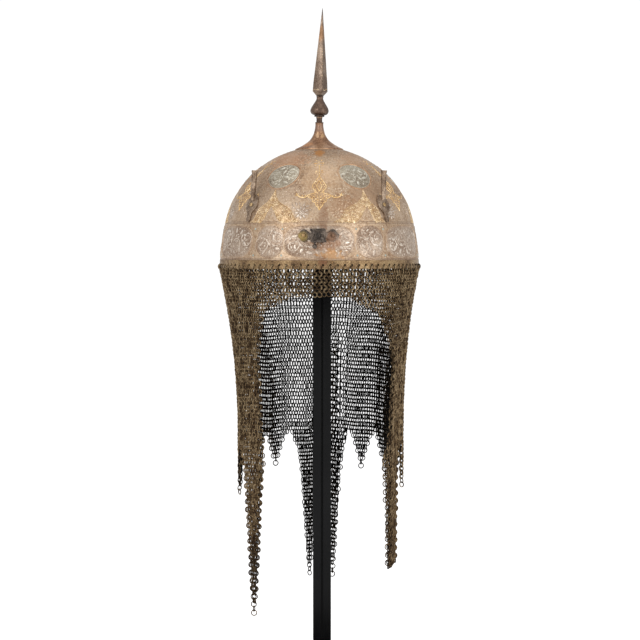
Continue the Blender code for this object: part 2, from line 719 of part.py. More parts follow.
def make_curtain():
    curtain = new_object("mail_curtain", mesh_from("mail_curtain", build_curtain), HELMET,
                         MAIL_METAL)
    thicken = curtain.modifiers.new("thicken", "SOLIDIFY")
    thicken.thickness = CURTAIN_WALL
    thicken.offset = 0.0
    place(curtain, helmet)


def make_stand_head():
    """A turned cap that carries the bowl from inside, with room for the finial's nut."""
    seat = moved_profile(OUTER, -BOWL_WALL - FIT_GAP)
    under = moved_profile(OUTER, -BOWL_WALL - FIT_GAP - HEAD_THICKNESS)
    recess_z = BOWL_HEIGHT - TANG_LENGTH - NUT_HEIGHT
    hub_z = BOWL_HEIGHT - HEAD_HUB_DROP
    top = crown_part(seat, HEAD_RECESS_RADIUS, HEAD_RADIUS)
    below = crown_part(under, HEAD_HUB_RADIUS, HEAD_RADIUS)
    profile = [(0.0, recess_z), (HEAD_RECESS_RADIUS, recess_z)] + top + below[::-1]
    profile += [(HEAD_HUB_RADIUS, hub_z), (0.0, hub_z)]
    head = turned("stand_head", profile, BOWL_STEPS, HELMET, BLACK_PAINT)
    place(head, helmet)
    socket = box("post_socket", (POST_WIDTH + 2.0 * FIT_GAP, POST_DEPTH + 2.0 * FIT_GAP,
                                 2.0 * SOCKET_DEPTH), (0.0, 0.0, hub_z), CUTTERS)
    combine(head, "DIFFERENCE", place(socket, helmet, (-HELMET_X, 0.0, 0.0)))


def make_stand_post():
    bottom = FOOT_THICKNESS + FIT_GAP
    top = RIM_Z + BOWL_HEIGHT - HEAD_HUB_DROP + SOCKET_DEPTH - FIT_GAP
    middle = (top + bottom) / 2.0
    post = box("stand_post", (POST_WIDTH, POST_DEPTH, top - bottom), (0.0, 0.0, middle),
               HELMET, BLACK_PAINT)
    groove = box("groove", (GROOVE_WIDTH, 2.0 * GROOVE_DEPTH, top),
                 (0.0, -POST_DEPTH / 2.0, middle), CUTTERS)
    combine(post, "DIFFERENCE", groove)


def make_stand_foot():
    foot = box("stand_foot", (FOOT_SIDE, FOOT_SIDE, FOOT_THICKNESS),
               (0.0, 0.0, FOOT_THICKNESS / 2.0), HELMET, BLACK_PAINT)
    work = bmesh.new()
    work.from_mesh(foot.data)
    upright = [edge for edge in work.edges
               if abs(edge.verts[0].co.z - edge.verts[1].co.z) > 0.5 * FOOT_THICKNESS]
    bmesh.ops.bevel(work, geom=upright, offset=FOOT_CORNER, segments=4, profile=0.5,
                    affect="EDGES")
    work.to_mesh(foot.data)
    work.free()


RIVET_HOLES = place(rods("rivet_holes", list(rivet_frames().values()),
                         RIVET_SHANK_RADIUS + RIVET_CLEARANCE, -4.0 * BOWL_WALL,
                         4.0 * PLATE_THICKNESS, RIVET_STEPS, CUTTERS), helmet)

make_bowl()
for rivet_name, rivet_frame in rivet_frames().items():
    make_rivet(rivet_name, rivet_frame)
make_trumpet()
make_nut()
finial_lean = new_empty("finial_lean", helmet, (0.0, 0.0, BOWL_HEIGHT + TRUMPET_HEIGHT),
                        (0.0, FINIAL_LEAN, 0.0))
make_bulb(finial_lean)
make_spike(finial_lean)
for holder_side in ("left", "right"):
    make_plume_holder(holder_side)
make_nasal_screw(make_nasal_bracket())
make_curtain()
make_stand_head()
make_stand_post()
make_stand_foot()
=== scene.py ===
import math
import random

import bmesh
import bpy
import numpy as np
from mathutils import Matrix, Vector


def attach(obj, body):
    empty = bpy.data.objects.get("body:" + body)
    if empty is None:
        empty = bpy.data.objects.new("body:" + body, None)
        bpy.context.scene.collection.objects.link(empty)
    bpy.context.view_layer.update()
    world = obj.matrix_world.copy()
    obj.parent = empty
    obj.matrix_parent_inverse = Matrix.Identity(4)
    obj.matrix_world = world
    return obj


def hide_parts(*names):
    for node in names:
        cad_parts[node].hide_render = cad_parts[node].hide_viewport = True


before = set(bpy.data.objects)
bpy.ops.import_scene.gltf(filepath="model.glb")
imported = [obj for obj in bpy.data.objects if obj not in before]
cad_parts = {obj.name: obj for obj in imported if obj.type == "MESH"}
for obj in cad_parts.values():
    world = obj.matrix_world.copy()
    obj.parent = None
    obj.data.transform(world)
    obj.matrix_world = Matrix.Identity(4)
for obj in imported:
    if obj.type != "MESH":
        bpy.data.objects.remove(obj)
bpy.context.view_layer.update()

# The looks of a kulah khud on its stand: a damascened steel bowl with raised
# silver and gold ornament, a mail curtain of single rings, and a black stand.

chance = random.Random(88)

MM = 0.001

# Helmet, in metres; heights are measured from the rim.
RIM_Z = 0.430
HELMET_X = -0.0028
BOWL_RADIUS = 0.104
BOWL_HEIGHT = 0.127
BOWL_WALL = 0.0016
BOWL_STEPS = 176
BOWL_SHARES = (
    (0.0, 1.0), (0.066, 0.999), (0.165, 0.989), (0.264, 0.971), (0.364, 0.949),
    (0.463, 0.914), (0.512, 0.892), (0.562, 0.863), (0.612, 0.828), (0.661, 0.788),
    (0.711, 0.741), (0.760, 0.688), (0.810, 0.620), (0.860, 0.537), (0.909, 0.434),
    (0.959, 0.2825), (0.9925, 0.120), (1.0, 0.0),
)
CROWN_HOLE = 0.0045

# Rim strip and the holes that carry the first row of mail.
RIM_HOLES = 88
HOLE_RADIUS = 0.0012
HOLE_HEIGHT = 0.0039
STRIP_TOP = 0.0086
STRIP_PROUD = 0.0003

# Ornament of the bowl. It repeats six times round.
REPEATS = 6
SECTOR = 360.0 / REPEATS
BAND_LOW = 0.0100
BAND_HIGH = 0.0460
CARTOUCHE_MIDDLE = 0.0272
LONG_HALF = 0.0365
SIDE_HALF = 0.0325
ROUND_HALF = 0.0163
ROUND_TURN = 30.5
GROUND_RISE = 0.00022
CARTOUCHE_HALF = 0.0166
ARABESQUE_FOOT = 0.0588
MEDALLION_HEIGHT = 0.0945
MEDALLION_HALF = (0.0184, 0.0178)
FIELD_PITCH = 0.0034

# Mail. Columns are counted from the back centre; the rim has two for each hole.
RING_RADIUS = 0.0028
RING_WIRE = 0.00058
RING_TURN = 31.0
BACK_TURN = 57.0
CLOSEST = 0.00120
FIRST_TURN = 55.0
FIRST_DROP = -0.00135
ROW_PITCH = 0.00325
ROW_GROWTH = 0.00088
ROWS_OF_GROWTH = 20.0
BROW_DROP = 0.0272
BROW_SPREAD = 1.305
COLUMN_DEG = 360.0 / RIM_HOLES / 2.0
CURTAIN_DROP = 0.1727
CURTAIN_LOW_RADIUS = 0.0845
DRAW_IN_POWER = 1.95
EDGE_DEG = 145.0
EDGE_GATHER = 0.09
FOLD_DEPTH = 0.0022
FOLD_COUNT = 9
POINT_PITCH = 0.00408
LONG_POINT = 0.179
# Each point: where it starts and ends at the rim in degrees; then for the left and for the right its
# length as a share of the longest, how wide its tip stays, how far its columns draw together, how many
# more columns it has, how wide it starts and how many degrees it hangs to the front.
PLAIN = (0.12, 0.0, 1.0, 1.0, 0.0)
POINTS = (
    (0.0, 24.5, (0.88, 0.12, 0.26, 1.15, 1.0, -4.0), (0.88, 0.12, 0.24, 1.15, 1.0, -1.5)),
    (24.5, 49.0, (0.195, *PLAIN), (0.205, *PLAIN)),
    (49.0, 73.5, (0.225, *PLAIN), (0.225, *PLAIN)),
    (73.5, 98.0, (0.26, *PLAIN), (0.26, *PLAIN)),
    (98.0, 120.5, (0.268, *PLAIN), (0.275, *PLAIN)),
    (120.5, 145.0, (0.965, 0.12, 0.2, 1.5, 1.15, 3.5), (0.765, 0.75, 0.14, 1.35, 1.2, 5.5)),
)
# How many degrees the front edges hang farther back than on an even curtain, and its sag and deep crease.
LEFT_PULL = -1.6
RIGHT_PULL = 11.0
SAG_WAVES = ((0.0015, 4.3, 0.6), (0.0007, 11.0, 0.0))
CREASE_TURN = 13.0
CREASE_WIDTH = 4.0
CREASE_DEPTH = 0.0060
# A ring's facets along and across its wire, and how far it strays: in metres, and in degrees each way.
RING_AROUND = 12
RING_SIDES = 5
RING_JITTER = 0.00017
RING_SWAY = 7.0
RING_TILT = 9.0

# Camera, at the photograph's angle.
CAMERA_PLACE = (-0.0021, -2.12, 0.459)
CAMERA_AIM = (-0.0021, 0.0, 0.375)
CAMERA_LENS = 113.6


def colour(red, green, blue):
    """A colour given as a screen shows it, 0 to 255, turned into Blender's linear values."""
    linear = []
    for value in (red, green, blue):
        share = value / 255.0
        linear.append(share / 12.92 if share <= 0.04045 else ((share + 0.055) / 1.055) ** 2.4)
    return (*linear, 1.0)


def smoothstep(start, end, value):
    """A soft step from 0 at start to 1 at end."""
    share = np.clip((value - start) / (end - start), 0.0, 1.0)
    return share * share * (3.0 - 2.0 * share)


def smooth_line(points, per_span=8, closed=False):
    """A smooth line through points, with per_span steps from each to the next."""
    points = np.asarray(points, float)
    if closed:
        line = np.concatenate([points[-1:], points, points[:2]])
    else:
        line = np.concatenate([2 * points[:1] - points[1:2], points, 2 * points[-1:] - points[-2:-1]])
    knots = np.concatenate([[0.0], np.cumsum(np.linalg.norm(np.diff(line, axis=0), axis=1) ** 0.5)])
    made = []
    for i in range(1, len(line) - 2):
        a, b, c, d = line[i - 1:i + 3]
        ta, tb, tc, td = knots[i - 1:i + 3]
        t = np.linspace(tb, tc, per_span, endpoint=False)[:, None]
        ab = (tb - t) / (tb - ta) * a + (t - ta) / (tb - ta) * b
        bc = (tc - t) / (tc - tb) * b + (t - tb) / (tc - tb) * c
        cd = (td - t) / (td - tc) * c + (t - tc) / (td - tc) * d
        abc = (tc - t) / (tc - ta) * ab + (t - ta) / (tc - ta) * bc
        bcd = (td - t) / (td - tb) * bc + (t - tb) / (td - tb) * cd
        made.append((tc - t) / (tc - tb) * abc + (t - tb) / (tc - tb) * bcd)
    if not closed:
        made.append(line[-2:-1])
    return np.concatenate(made)


# The bowl's outline as (height, radius), its length from the rim, and the lean of its face.
OUTLINE = smooth_line([(h * BOWL_HEIGHT, r * BOWL_RADIUS) for h, r in BOWL_SHARES], 6)
OUTLINE[:, 0] = np.maximum.accumulate(OUTLINE[:, 0])
OUTLINE_STEPS = np.gradient(OUTLINE, axis=0)
OUTLINE_LEAN = np.arctan2(-OUTLINE_STEPS[:, 1], OUTLINE_STEPS[:, 0])
OUTLINE_LENGTH = np.concatenate([[0.0], np.cumsum(np.linalg.norm(np.diff(OUTLINE, axis=0), axis=1))])


def radius_at(height):
    """The bowl's radius at a height over the rim."""
    return float(np.interp(height, OUTLINE[:, 0], OUTLINE[:, 1]))


def length_at(height):
    """How far a height lies from the rim, measured on the bowl's face."""
    return float(np.interp(height, OUTLINE[:, 0], OUTLINE_LENGTH))


def on_bowl(azimuth, height, lift=0.0):
    """Points on the bowl's outer face; the azimuth is in degrees from the front, + to +X."""
    turn = np.radians(azimuth)
    radius = np.interp(height, OUTLINE[:, 0], OUTLINE[:, 1])
    lean = np.interp(height, OUTLINE[:, 0], OUTLINE_LEAN)
    out = radius + lift * np.cos(lean)
    rise = RIM_Z + height + lift * np.sin(lean)
    return np.stack([HELMET_X + out * np.sin(turn), -out * np.cos(turn), rise], -1)


def spot(anchor, across, along):
    """Azimuth and height of a point that lies across and along from an anchor, in metres on the face."""
    azimuth, height = anchor
    length = np.interp(height, OUTLINE[:, 0], OUTLINE_LENGTH) + along
    height = np.interp(length, OUTLINE_LENGTH, OUTLINE[:, 0])
    radius = np.interp(height, OUTLINE[:, 0], OUTLINE[:, 1])
    return azimuth + np.degrees(across / radius), height


def laid(anchor, across, along, lift=0.0):
    """A point on the bowl, measured on its face from an anchor."""
    return on_bowl(*spot(anchor, across, along), lift)


def measured(anchor, azimuth, height):
    """The reverse of spot: how far across and along a place lies from an anchor."""
    radius = np.interp(height, OUTLINE[:, 0], OUTLINE[:, 1])
    along = np.interp(height, OUTLINE[:, 0], OUTLINE_LENGTH)
    along = along - np.interp(anchor[1], OUTLINE[:, 0], OUTLINE_LENGTH)
    return np.radians(azimuth - anchor[0]) * radius, along


# Meshes

def add_grid(bm, columns, rows, place):
    """Adds a grid whose vertices go to place(u, v), with u and v from 0 to 1."""
    layer = bm.verts.layers.float.get("wear_and_shade") or bm.verts.layers.float.new("wear_and_shade")
    made = bmesh.ops.create_grid(bm, x_segments=columns, y_segments=rows, size=0.5)["verts"]
    flat = np.array([v.co for v in made]) + 0.5
    points, wear_and_shade = place(flat[:, 0], flat[:, 1])
    for vertex, point, value in zip(made, points, np.broadcast_to(wear_and_shade, len(made))):
        vertex.co = point
        vertex[layer] = value
    return made


def add_ridge(bm, anchor, path, half_width, height, closed=False, taper=0.0, across_steps=4):
    """A rounded ridge on the bowl along a path of (across, along) points."""
    path = np.asarray(path, float)
    if closed:
        path = np.concatenate([path, path[:1]])
    step = np.gradient(path, axis=0)
    if closed:
        step[0] = step[-1] = path[1] - path[-2]
    step /= np.linalg.norm(step, axis=1)[:, None]
    side = np.stack([-step[:, 1], step[:, 0]], 1)
    count = len(path)

    def place(u, v):
        index = np.rint(u * (count - 1)).astype(int)
        swell = 1.0 - taper * np.abs(2.0 * u - 1.0) ** 2
        offset = (2.0 * v - 1.0) * half_width * swell
        point = path[index] + side[index] * offset[:, None]
        rise = 1.0 - (2.0 * v - 1.0) ** 2
        lift = -0.08 * MM + (height + 0.08 * MM) * rise * swell
        return laid(anchor, point[:, 0], point[:, 1], lift), rise

    made = add_grid(bm, count - 1, across_steps, place)
    if closed:
        bmesh.ops.remove_doubles(bm, verts=made, dist=0.00002)


def rounded_reach(angle, power):
    """How far a rounded rectangle of half sizes 1 reaches at an angle."""
    return (np.abs(np.cos(angle)) ** power + np.abs(np.sin(angle)) ** power) ** (-1.0 / power)


def rounded_outline(half_width, half_height, power, steps):
    """Points round a rounded rectangle."""
    angle = np.linspace(0.0, 2.0 * np.pi, steps, endpoint=False)
    reach = rounded_reach(angle, power)
    return np.stack([half_width * np.cos(angle) * reach, half_height * np.sin(angle) * reach], 1)


def add_ground(bm, anchor, half_width, half_height, power, lift, columns, rows):
    """The sunk-edged plate inside a rounded outline."""
    def place(u, v):
        a, b = 2.0 * u - 1.0, 2.0 * v - 1.0
        x, y = a * np.sqrt(1.0 - b * b / 2.0), b * np.sqrt(1.0 - a * a / 2.0)
        reach = rounded_reach(np.arctan2(y, x), power)
        edge = np.hypot(x, y)
        rise = lift * (1.0 - smoothstep(0.93, 1.0, edge) * 1.4)
        return laid(anchor, x * reach * half_width, y * reach * half_height, rise), 0.35
    add_grid(bm, columns, rows, place)


def ring_shape(radius, wire, around, sides):
    """A round ring in the XZ plane."""
    bm = bmesh.new()
    bmesh.ops.create_circle(bm, segments=sides, radius=wire)
    bmesh.ops.translate(bm, verts=bm.verts, vec=(radius, 0.0, 0.0))
    bmesh.ops.rotate(bm, verts=bm.verts, matrix=Matrix.Rotation(math.radians(90), 3, "X"))
    bmesh.ops.spin(bm, geom=bm.edges[:], axis=(0, 0, 1), angle=math.radians(360), steps=around,
                   use_merge=True)
    bmesh.ops.recalc_face_normals(bm, faces=bm.faces)
    bmesh.ops.rotate(bm, verts=bm.verts, matrix=Matrix.Rotation(math.radians(90), 3, "X"))
    return shape_arrays(bm)


def dot_shape():
    """A small dome of radius 1 that stands on its flat side."""
    bm = bmesh.new()
    bmesh.ops.create_uvsphere(bm, u_segments=8, v_segments=6, radius=1.0)
    geometry = bm.verts[:] + bm.edges[:] + bm.faces[:]
    bmesh.ops.bisect_plane(bm, geom=geometry, plane_co=(0, 0, -0.1), plane_no=(0, 0, 1), clear_inner=True)
    return shape_arrays(bm)


def leaf_shape(bend):
    """A domed leaf of length 2 along X, bent to one side, with a rubbed middle rib."""
    bm = bmesh.new()
    made = bmesh.ops.create_grid(bm, x_segments=7, y_segments=4, size=1.0)["verts"]
    for vertex in made:
        x, y = vertex.co.x, vertex.co.y
        half = 0.42 * max(1.0 - abs(x) ** 2.2, 0.02) ** 0.8 * (1.0 - 0.25 * x)
        vertex.co = (x, y * half + bend * (1.0 - x * x), 0.34 * (1.0 - abs(y) ** 2) * (1.0 - x * x) - 0.06)
    return shape_arrays(bm)


def eye_shape():
    """A small raised ring of radius 1 round a dot."""
    bm = bmesh.new()
    bmesh.ops.create_circle(bm, segments=6, radius=0.3)
    bmesh.ops.rotate(bm, verts=bm.verts, matrix=Matrix.Rotation(math.radians(90), 3, "X"))
    bmesh.ops.translate(bm, verts=bm.verts, vec=(0.8, 0.0, 0.0))
    bmesh.ops.spin(bm, geom=bm.edges[:], axis=(0, 0, 1), angle=math.radians(360), steps=12, use_merge=True)
    bmesh.ops.recalc_face_normals(bm, faces=bm.faces)
    return shape_arrays(bm)


def shape_arrays(bm):
    """The points and faces of a small shape, ready to be copied by joined."""
    bm.verts.index_update()
    bmesh.ops.triangulate(bm, faces=[face for face in bm.faces if len(face.verts) > 4])
    bm.verts.index_update()
    points = np.array([vertex.co for vertex in bm.verts])
    faces = [[vertex.index for vertex in face.verts] for face in bm.faces]
    bm.free()
    return points, faces


def joined(name, shapes, places):
    """One mesh of many copies. Each place is (shape number, origin, 3x3 axes, wear and shade values, tone).
    """
    points, corners, totals, wear_and_shade, tone = [], [], [], [], []
    start = 0
    for number, origin, axes, shade, value in places:
        shape, faces = shapes[number]
        points.append(origin + shape @ axes)
        wear_and_shade.append(np.broadcast_to(shade, len(shape)))
        tone.append(np.full(len(shape), value))
        for face in faces:
            corners.extend(start + index for index in face)
            totals.append(len(face))
        start += len(shape)
    points = np.concatenate(points)
    mesh = bpy.data.meshes.new(name)
    mesh.vertices.add(len(points))
    mesh.vertices.foreach_set("co", points.ravel())
    mesh.loops.add(len(corners))
    mesh.loops.foreach_set("vertex_index", corners)
    mesh.polygons.add(len(totals))
    mesh.polygons.foreach_set("loop_start", np.concatenate([[0], np.cumsum(totals)[:-1]]))
    for attribute, values in (("wear_and_shade", wear_and_shade), ("tone", tone)):
        layer = mesh.attributes.new(attribute, "FLOAT", "POINT")
        layer.data.foreach_set("value", np.concatenate(values).astype(np.float32))
    mesh.update(calc_edges=True)
    mesh.validate()
    return mesh


def show(name, mesh, finishes, body="helmet", replaces=(), sharp=None):
    """Makes the object of a finished mesh, with its finishes, and lets it ride on a body."""
    for finish in finishes:
        mesh.materials.append(finish)
    mesh.shade_smooth()
    if sharp is not None:
        mesh.set_sharp_from_angle(angle=math.radians(sharp))
    piece = placed(name, mesh)
    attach(piece, body)
    if replaces:
        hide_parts(*replaces)


def placed(name, data):
    """Puts new data into the scene as an object."""
    thing = bpy.data.objects.new(name, data)
    bpy.context.scene.collection.objects.link(thing)
    return thing


def mesh_of(name, bm):
    """Writes a bmesh into a new mesh and frees it."""
    mesh = bpy.data.meshes.new(name)
    bm.to_mesh(mesh)
    bm.free()
    return mesh


def show_built(name, bm, finish):
    """Shows a piece of ornament made in a bmesh."""
    show(name, mesh_of(name, bm), [finish])


def show_stamped(name, places, finish):
    """Shows a piece of ornament made of many small stamps."""
    show(name, joined(name, STAMPS, places), [finish])


def spun(profile, steps, closed, start=0.0):
    """A shape turned about Z from (radius, height) points."""
    bm = bmesh.new()
    verts = [bm.verts.new((radius, 0.0, height)) for radius, height in profile]
    ends = verts[1:] + verts[:1] if closed else verts[1:]
    edges = [bm.edges.new(pair) for pair in zip(verts, ends)]
    bmesh.ops.rotate(bm, verts=verts, matrix=Matrix.Rotation(start, 3, "Z"))
    bmesh.ops.spin(bm, geom=edges, axis=(0, 0, 1), angle=math.radians(360), steps=steps, use_merge=True)
    bmesh.ops.remove_doubles(bm, verts=bm.verts, dist=0.00001)
    bmesh.ops.recalc_face_normals(bm, faces=bm.faces)
    return bm


# Finishes

class Bench:
    """Adds nodes to one tree, in a row from left to right."""

    def __init__(self, tree):
        self.tree = tree
        self.reach = 0

    def add(self, kind, values=None, **settings):
        node = self.tree.nodes.new(kind)
        node.location = (self.reach, 0)
        self.reach += 190
        for name, value in settings.items():
            setattr(node, name, value)
        return self.wire(node, values or {})

    def wire(self, node, values):
        """Joins sockets to a node's inputs, or sets the inputs where plain values are given."""
        for name, value in values.items():
            socket = node.inputs[name]
            if isinstance(value, bpy.types.NodeSocket):
                self.tree.links.new(value, socket)
            else:
                socket.default_value = value
        return node

    def sum(self, operation, first, second=0.5, third=0.5, clamp=False):
        values = {0: first, 1: second, 2: third}
        return self.add("ShaderNodeMath", values, operation=operation, use_clamp=clamp).outputs[0]

    def mix(self, share, first, second):
        return self.add("ShaderNodeMix", {0: share, 6: first, 7: second}, data_type="RGBA").outputs[2]

    def spread(self, value, low, high, to_low=0.0, to_high=1.0):
        values = {"Value": value, "From Min": low, "From Max": high, "To Min": to_low, "To Max": to_high}
        return self.add("ShaderNodeMapRange", values, interpolation_type="SMOOTHSTEP").outputs[0]

    def ramp(self, value, *stops):
        node = self.add("ShaderNodeValToRGB", {0: value})
        elements = node.color_ramp.elements
        while len(elements) < len(stops):
            elements.new(0.5)
        for element, (place, tint) in zip(elements, stops):
            element.position = place
            element.color = tint
        return node.outputs[0]

    def fill(self, group, values):
        """Adds a node group; its sockets are given by name."""
        return self.wire(self.add("ShaderNodeGroup", node_tree=group), values)


def new_group(name, inputs, outputs):
    """An empty shader node group with named sockets; returns it, its bench, and its two ends."""
    group = bpy.data.node_groups.new(name, "ShaderNodeTree")
    for socket, kind, value in inputs:
        made = group.interface.new_socket(name=socket, in_out="INPUT", socket_type="NodeSocket" + kind)
        made.default_value = value
    for socket, kind in outputs:
        group.interface.new_socket(name=socket, in_out="OUTPUT", socket_type="NodeSocket" + kind)
    bench = Bench(group)
    return group, bench, bench.add("NodeGroupInput"), bench.add("NodeGroupOutput")


def old_skin_group():
    """Clouds, fine grain and pits of an old metal face, and their height."""
    group, bench, inside, out = new_group(
        "old_metal_skin",
        [("Place", "Vector", (0, 0, 0)), ("Cloud Scale", "Float", 40.0), ("Grain Scale", "Float", 700.0),
         ("Pit Scale", "Float", 420.0)],
        [("Clouds", "Float"), ("Grain", "Float"), ("Pits", "Float"), ("Relief", "Float")])
    place = inside.outputs["Place"]
    clouds = bench.add("ShaderNodeTexNoise", {
        "Vector": place, "Scale": inside.outputs["Cloud Scale"], "Detail": 6.0,
        "Roughness": 0.62}).outputs[0]
    grain = bench.add("ShaderNodeTexNoise", {
        "Vector": place, "Scale": inside.outputs["Grain Scale"], "Detail": 3.0,
        "Roughness": 0.6}).outputs[0]
    cells = bench.add("ShaderNodeTexVoronoi", {
        "Vector": place, "Scale": inside.outputs["Pit Scale"]}).outputs[0]
    pits = bench.spread(cells, 0.42, 0.12)
    pits = bench.sum("MULTIPLY", pits, bench.spread(clouds, 0.45, 0.62))
    relief = bench.sum("SUBTRACT", bench.sum("MULTIPLY", grain, 0.5), bench.sum("MULTIPLY", pits, 0.6))
    ends = {"Clouds": bench.spread(clouds, 0.3, 0.7), "Grain": bench.spread(grain, 0.3, 0.7), "Pits": pits,
            "Relief": relief}
    for name, socket in ends.items():
        group.links.new(socket, out.inputs[name])
    return group


def stain_group():
    """A soft-edged patch round a centre, with a broken edge."""
    group, bench, inside, out = new_group(
        "stain",
        [("Place", "Vector", (0, 0, 0)), ("Centre", "Vector", (0, 0, 0)),
         ("Size", "Vector", (0.01, 0.01, 0.01)),
         ("Broken", "Float", 0.6)],
        [("Mask", "Float")])
    shifted = bench.add("ShaderNodeVectorMath", {
        0: inside.outputs["Place"], 1: inside.outputs["Centre"]}, operation="SUBTRACT").outputs[0]
    scaled = bench.add("ShaderNodeVectorMath", {0: shifted, 1: inside.outputs["Size"]},
                       operation="DIVIDE").outputs[0]
    far = bench.add("ShaderNodeVectorMath", {0: scaled}, operation="LENGTH").outputs["Value"]
    rough = bench.add("ShaderNodeTexNoise", {
        "Vector": inside.outputs["Place"], "Scale": 260.0, "Detail": 5.0, "Roughness": 0.65}).outputs[0]
    shift = bench.sum("MULTIPLY", bench.sum("SUBTRACT", rough, 0.5), inside.outputs["Broken"])
    shift = bench.sum("MULTIPLY", shift, 3.0)
    group.links.new(bench.spread(bench.sum("ADD", far, shift), 1.15, 0.5), out.inputs["Mask"])
    return group


def patched(bench, place, tint, patches):
    """Lays soft patches of other tints over a colour.

    Each is its centre, its size, how broken its edge is, its strength and its tint.
    """
    for centre, size, broken, strength, other in patches:
        mask = bench.fill(STAIN,
                          {"Place": place, "Centre": centre, "Size": size,
                           "Broken": broken}).outputs["Mask"]
        tint = bench.mix(bench.sum("MULTIPLY", mask, strength), tint, colour(*other))
    return tint


def front_stain_group():
    """The rust run at the front, the orange patch by the staple and the ochre one under the finial."""
    group, bench, inside, out = new_group(
        "front_stains", [("Place", "Vector", (0, 0, 0)), ("Tint", "Color", (0.5, 0.5, 0.5, 1.0))],
        [("Tint", "Color")])
    tint = patched(bench, inside.outputs["Place"], inside.outputs["Tint"], FRONT_STAINS)
    group.links.new(tint, out.inputs["Tint"])
    return group


def tendril_group():
    """Thin curling lines, as of a rubbed inlaid scroll pattern."""
    group, bench, inside, out = new_group(
        "tendrils",
        [("Place", "Vector", (0, 0, 0)), ("Scale", "Float", 150.0), ("Width", "Float", 0.08)],
        [("Lines", "Float")])
    drift = bench.add("ShaderNodeTexNoise", {
        "Vector": inside.outputs["Place"], "Scale": inside.outputs["Scale"], "Detail": 1.0}).outputs[1]
    drift = bench.add("ShaderNodeVectorMath", {0: drift, "Scale": 0.009}, operation="SCALE").outputs[0]
    moved = bench.add("ShaderNodeVectorMath", {0: inside.outputs["Place"], 1: drift},
                      operation="ADD").outputs[0]
    cells = bench.add("ShaderNodeTexVoronoi", {
        "Vector": moved, "Scale": inside.outputs["Scale"]}, feature="DISTANCE_TO_EDGE").outputs[0]
    lines = bench.spread(cells, inside.outputs["Width"], 0.0)
    group.links.new(lines, out.inputs["Lines"])
    return group


# Stains of the front, and the large weathered areas of the bowl.
WEATHERED = (
    ((-0.0215, -0.094, 0.4885), (0.0120, 0.040, 0.0100), 0.7, 0.55, (142, 124, 106)),
    ((-0.046, -0.082, 0.4990), (0.030, 0.050, 0.020), 0.9, 0.30, (184, 166, 146)),
    ((0.050, -0.080, 0.5060), (0.028, 0.050, 0.018), 0.9, 0.55, (160, 128, 100)),
    ((-0.003, -0.085, 0.5240), (0.026, 0.050, 0.020), 0.9, 0.45, (172, 142, 110)),
    ((0.020, -0.095, 0.4930), (0.018, 0.050, 0.013), 0.9, 0.40, (150, 112, 80)),
    ((-0.040, -0.060, 0.5440), (0.030, 0.060, 0.012), 0.9, 0.5, (182, 134, 98)),
    ((0.040, -0.060, 0.5440), (0.030, 0.060, 0.012), 0.9, 0.4, (186, 146, 112)),
)
FRONT_STAINS = (
    ((0.0010, -0.090, 0.4800), (0.0055, 0.030, 0.020), 0.8, 0.45, (120, 82, 58)),
    ((0.0040, -0.100, 0.4560), (0.0150, 0.030, 0.012), 1.0, 0.5, (146, 98, 62)),
    ((0.0090, -0.102, 0.4440), (0.0130, 0.020, 0.0055), 1.2, 0.60, (180, 132, 78)),
    ((0.0005, -0.104, 0.4370), (0.0050, 0.020, 0.0060), 0.8, 0.6, (120, 82, 58)),
    ((-0.0028, -0.036, 0.5480), (0.0060, 0.020, 0.0050), 0.7, 0.8, (172, 116, 54)),
    ((-0.0028, -0.020, 0.5620), (0.0045, 0.020, 0.0040), 0.7, 0.7, (150, 88, 40)),
)
OLD_SKIN = old_skin_group()
STAIN = stain_group()
STAINED = front_stain_group()
TENDRILS = tendril_group()


def new_finish(name):
    """A material with its bench, its shader and the object's own coordinates."""
    finish = bpy.data.materials.new(name)
    finish.use_nodes = True
    tree = finish.node_tree
    bench = Bench(tree)
    shader = tree.nodes["Principled BSDF"]
    shader.location = (3200, 0)
    tree.nodes["Material Output"].location = (3500, 0)
    place = bench.add("ShaderNodeTexCoord").outputs["Object"]
    return finish, bench, shader, place


def finish_off(bench, shader, tint, rough, metallic, relief, depth):
    """Joins a finish's colour, roughness and height to its shader."""
    links = bench.tree.links
    links.new(tint, shader.inputs["Base Color"])
    links.new(rough, shader.inputs["Roughness"])
    shader.inputs["Metallic"].default_value = metallic
    bump = bench.add("ShaderNodeBump", {"Height": relief, "Distance": depth, "Strength": 1.0})
    links.new(bump.outputs[0], shader.inputs["Normal"])


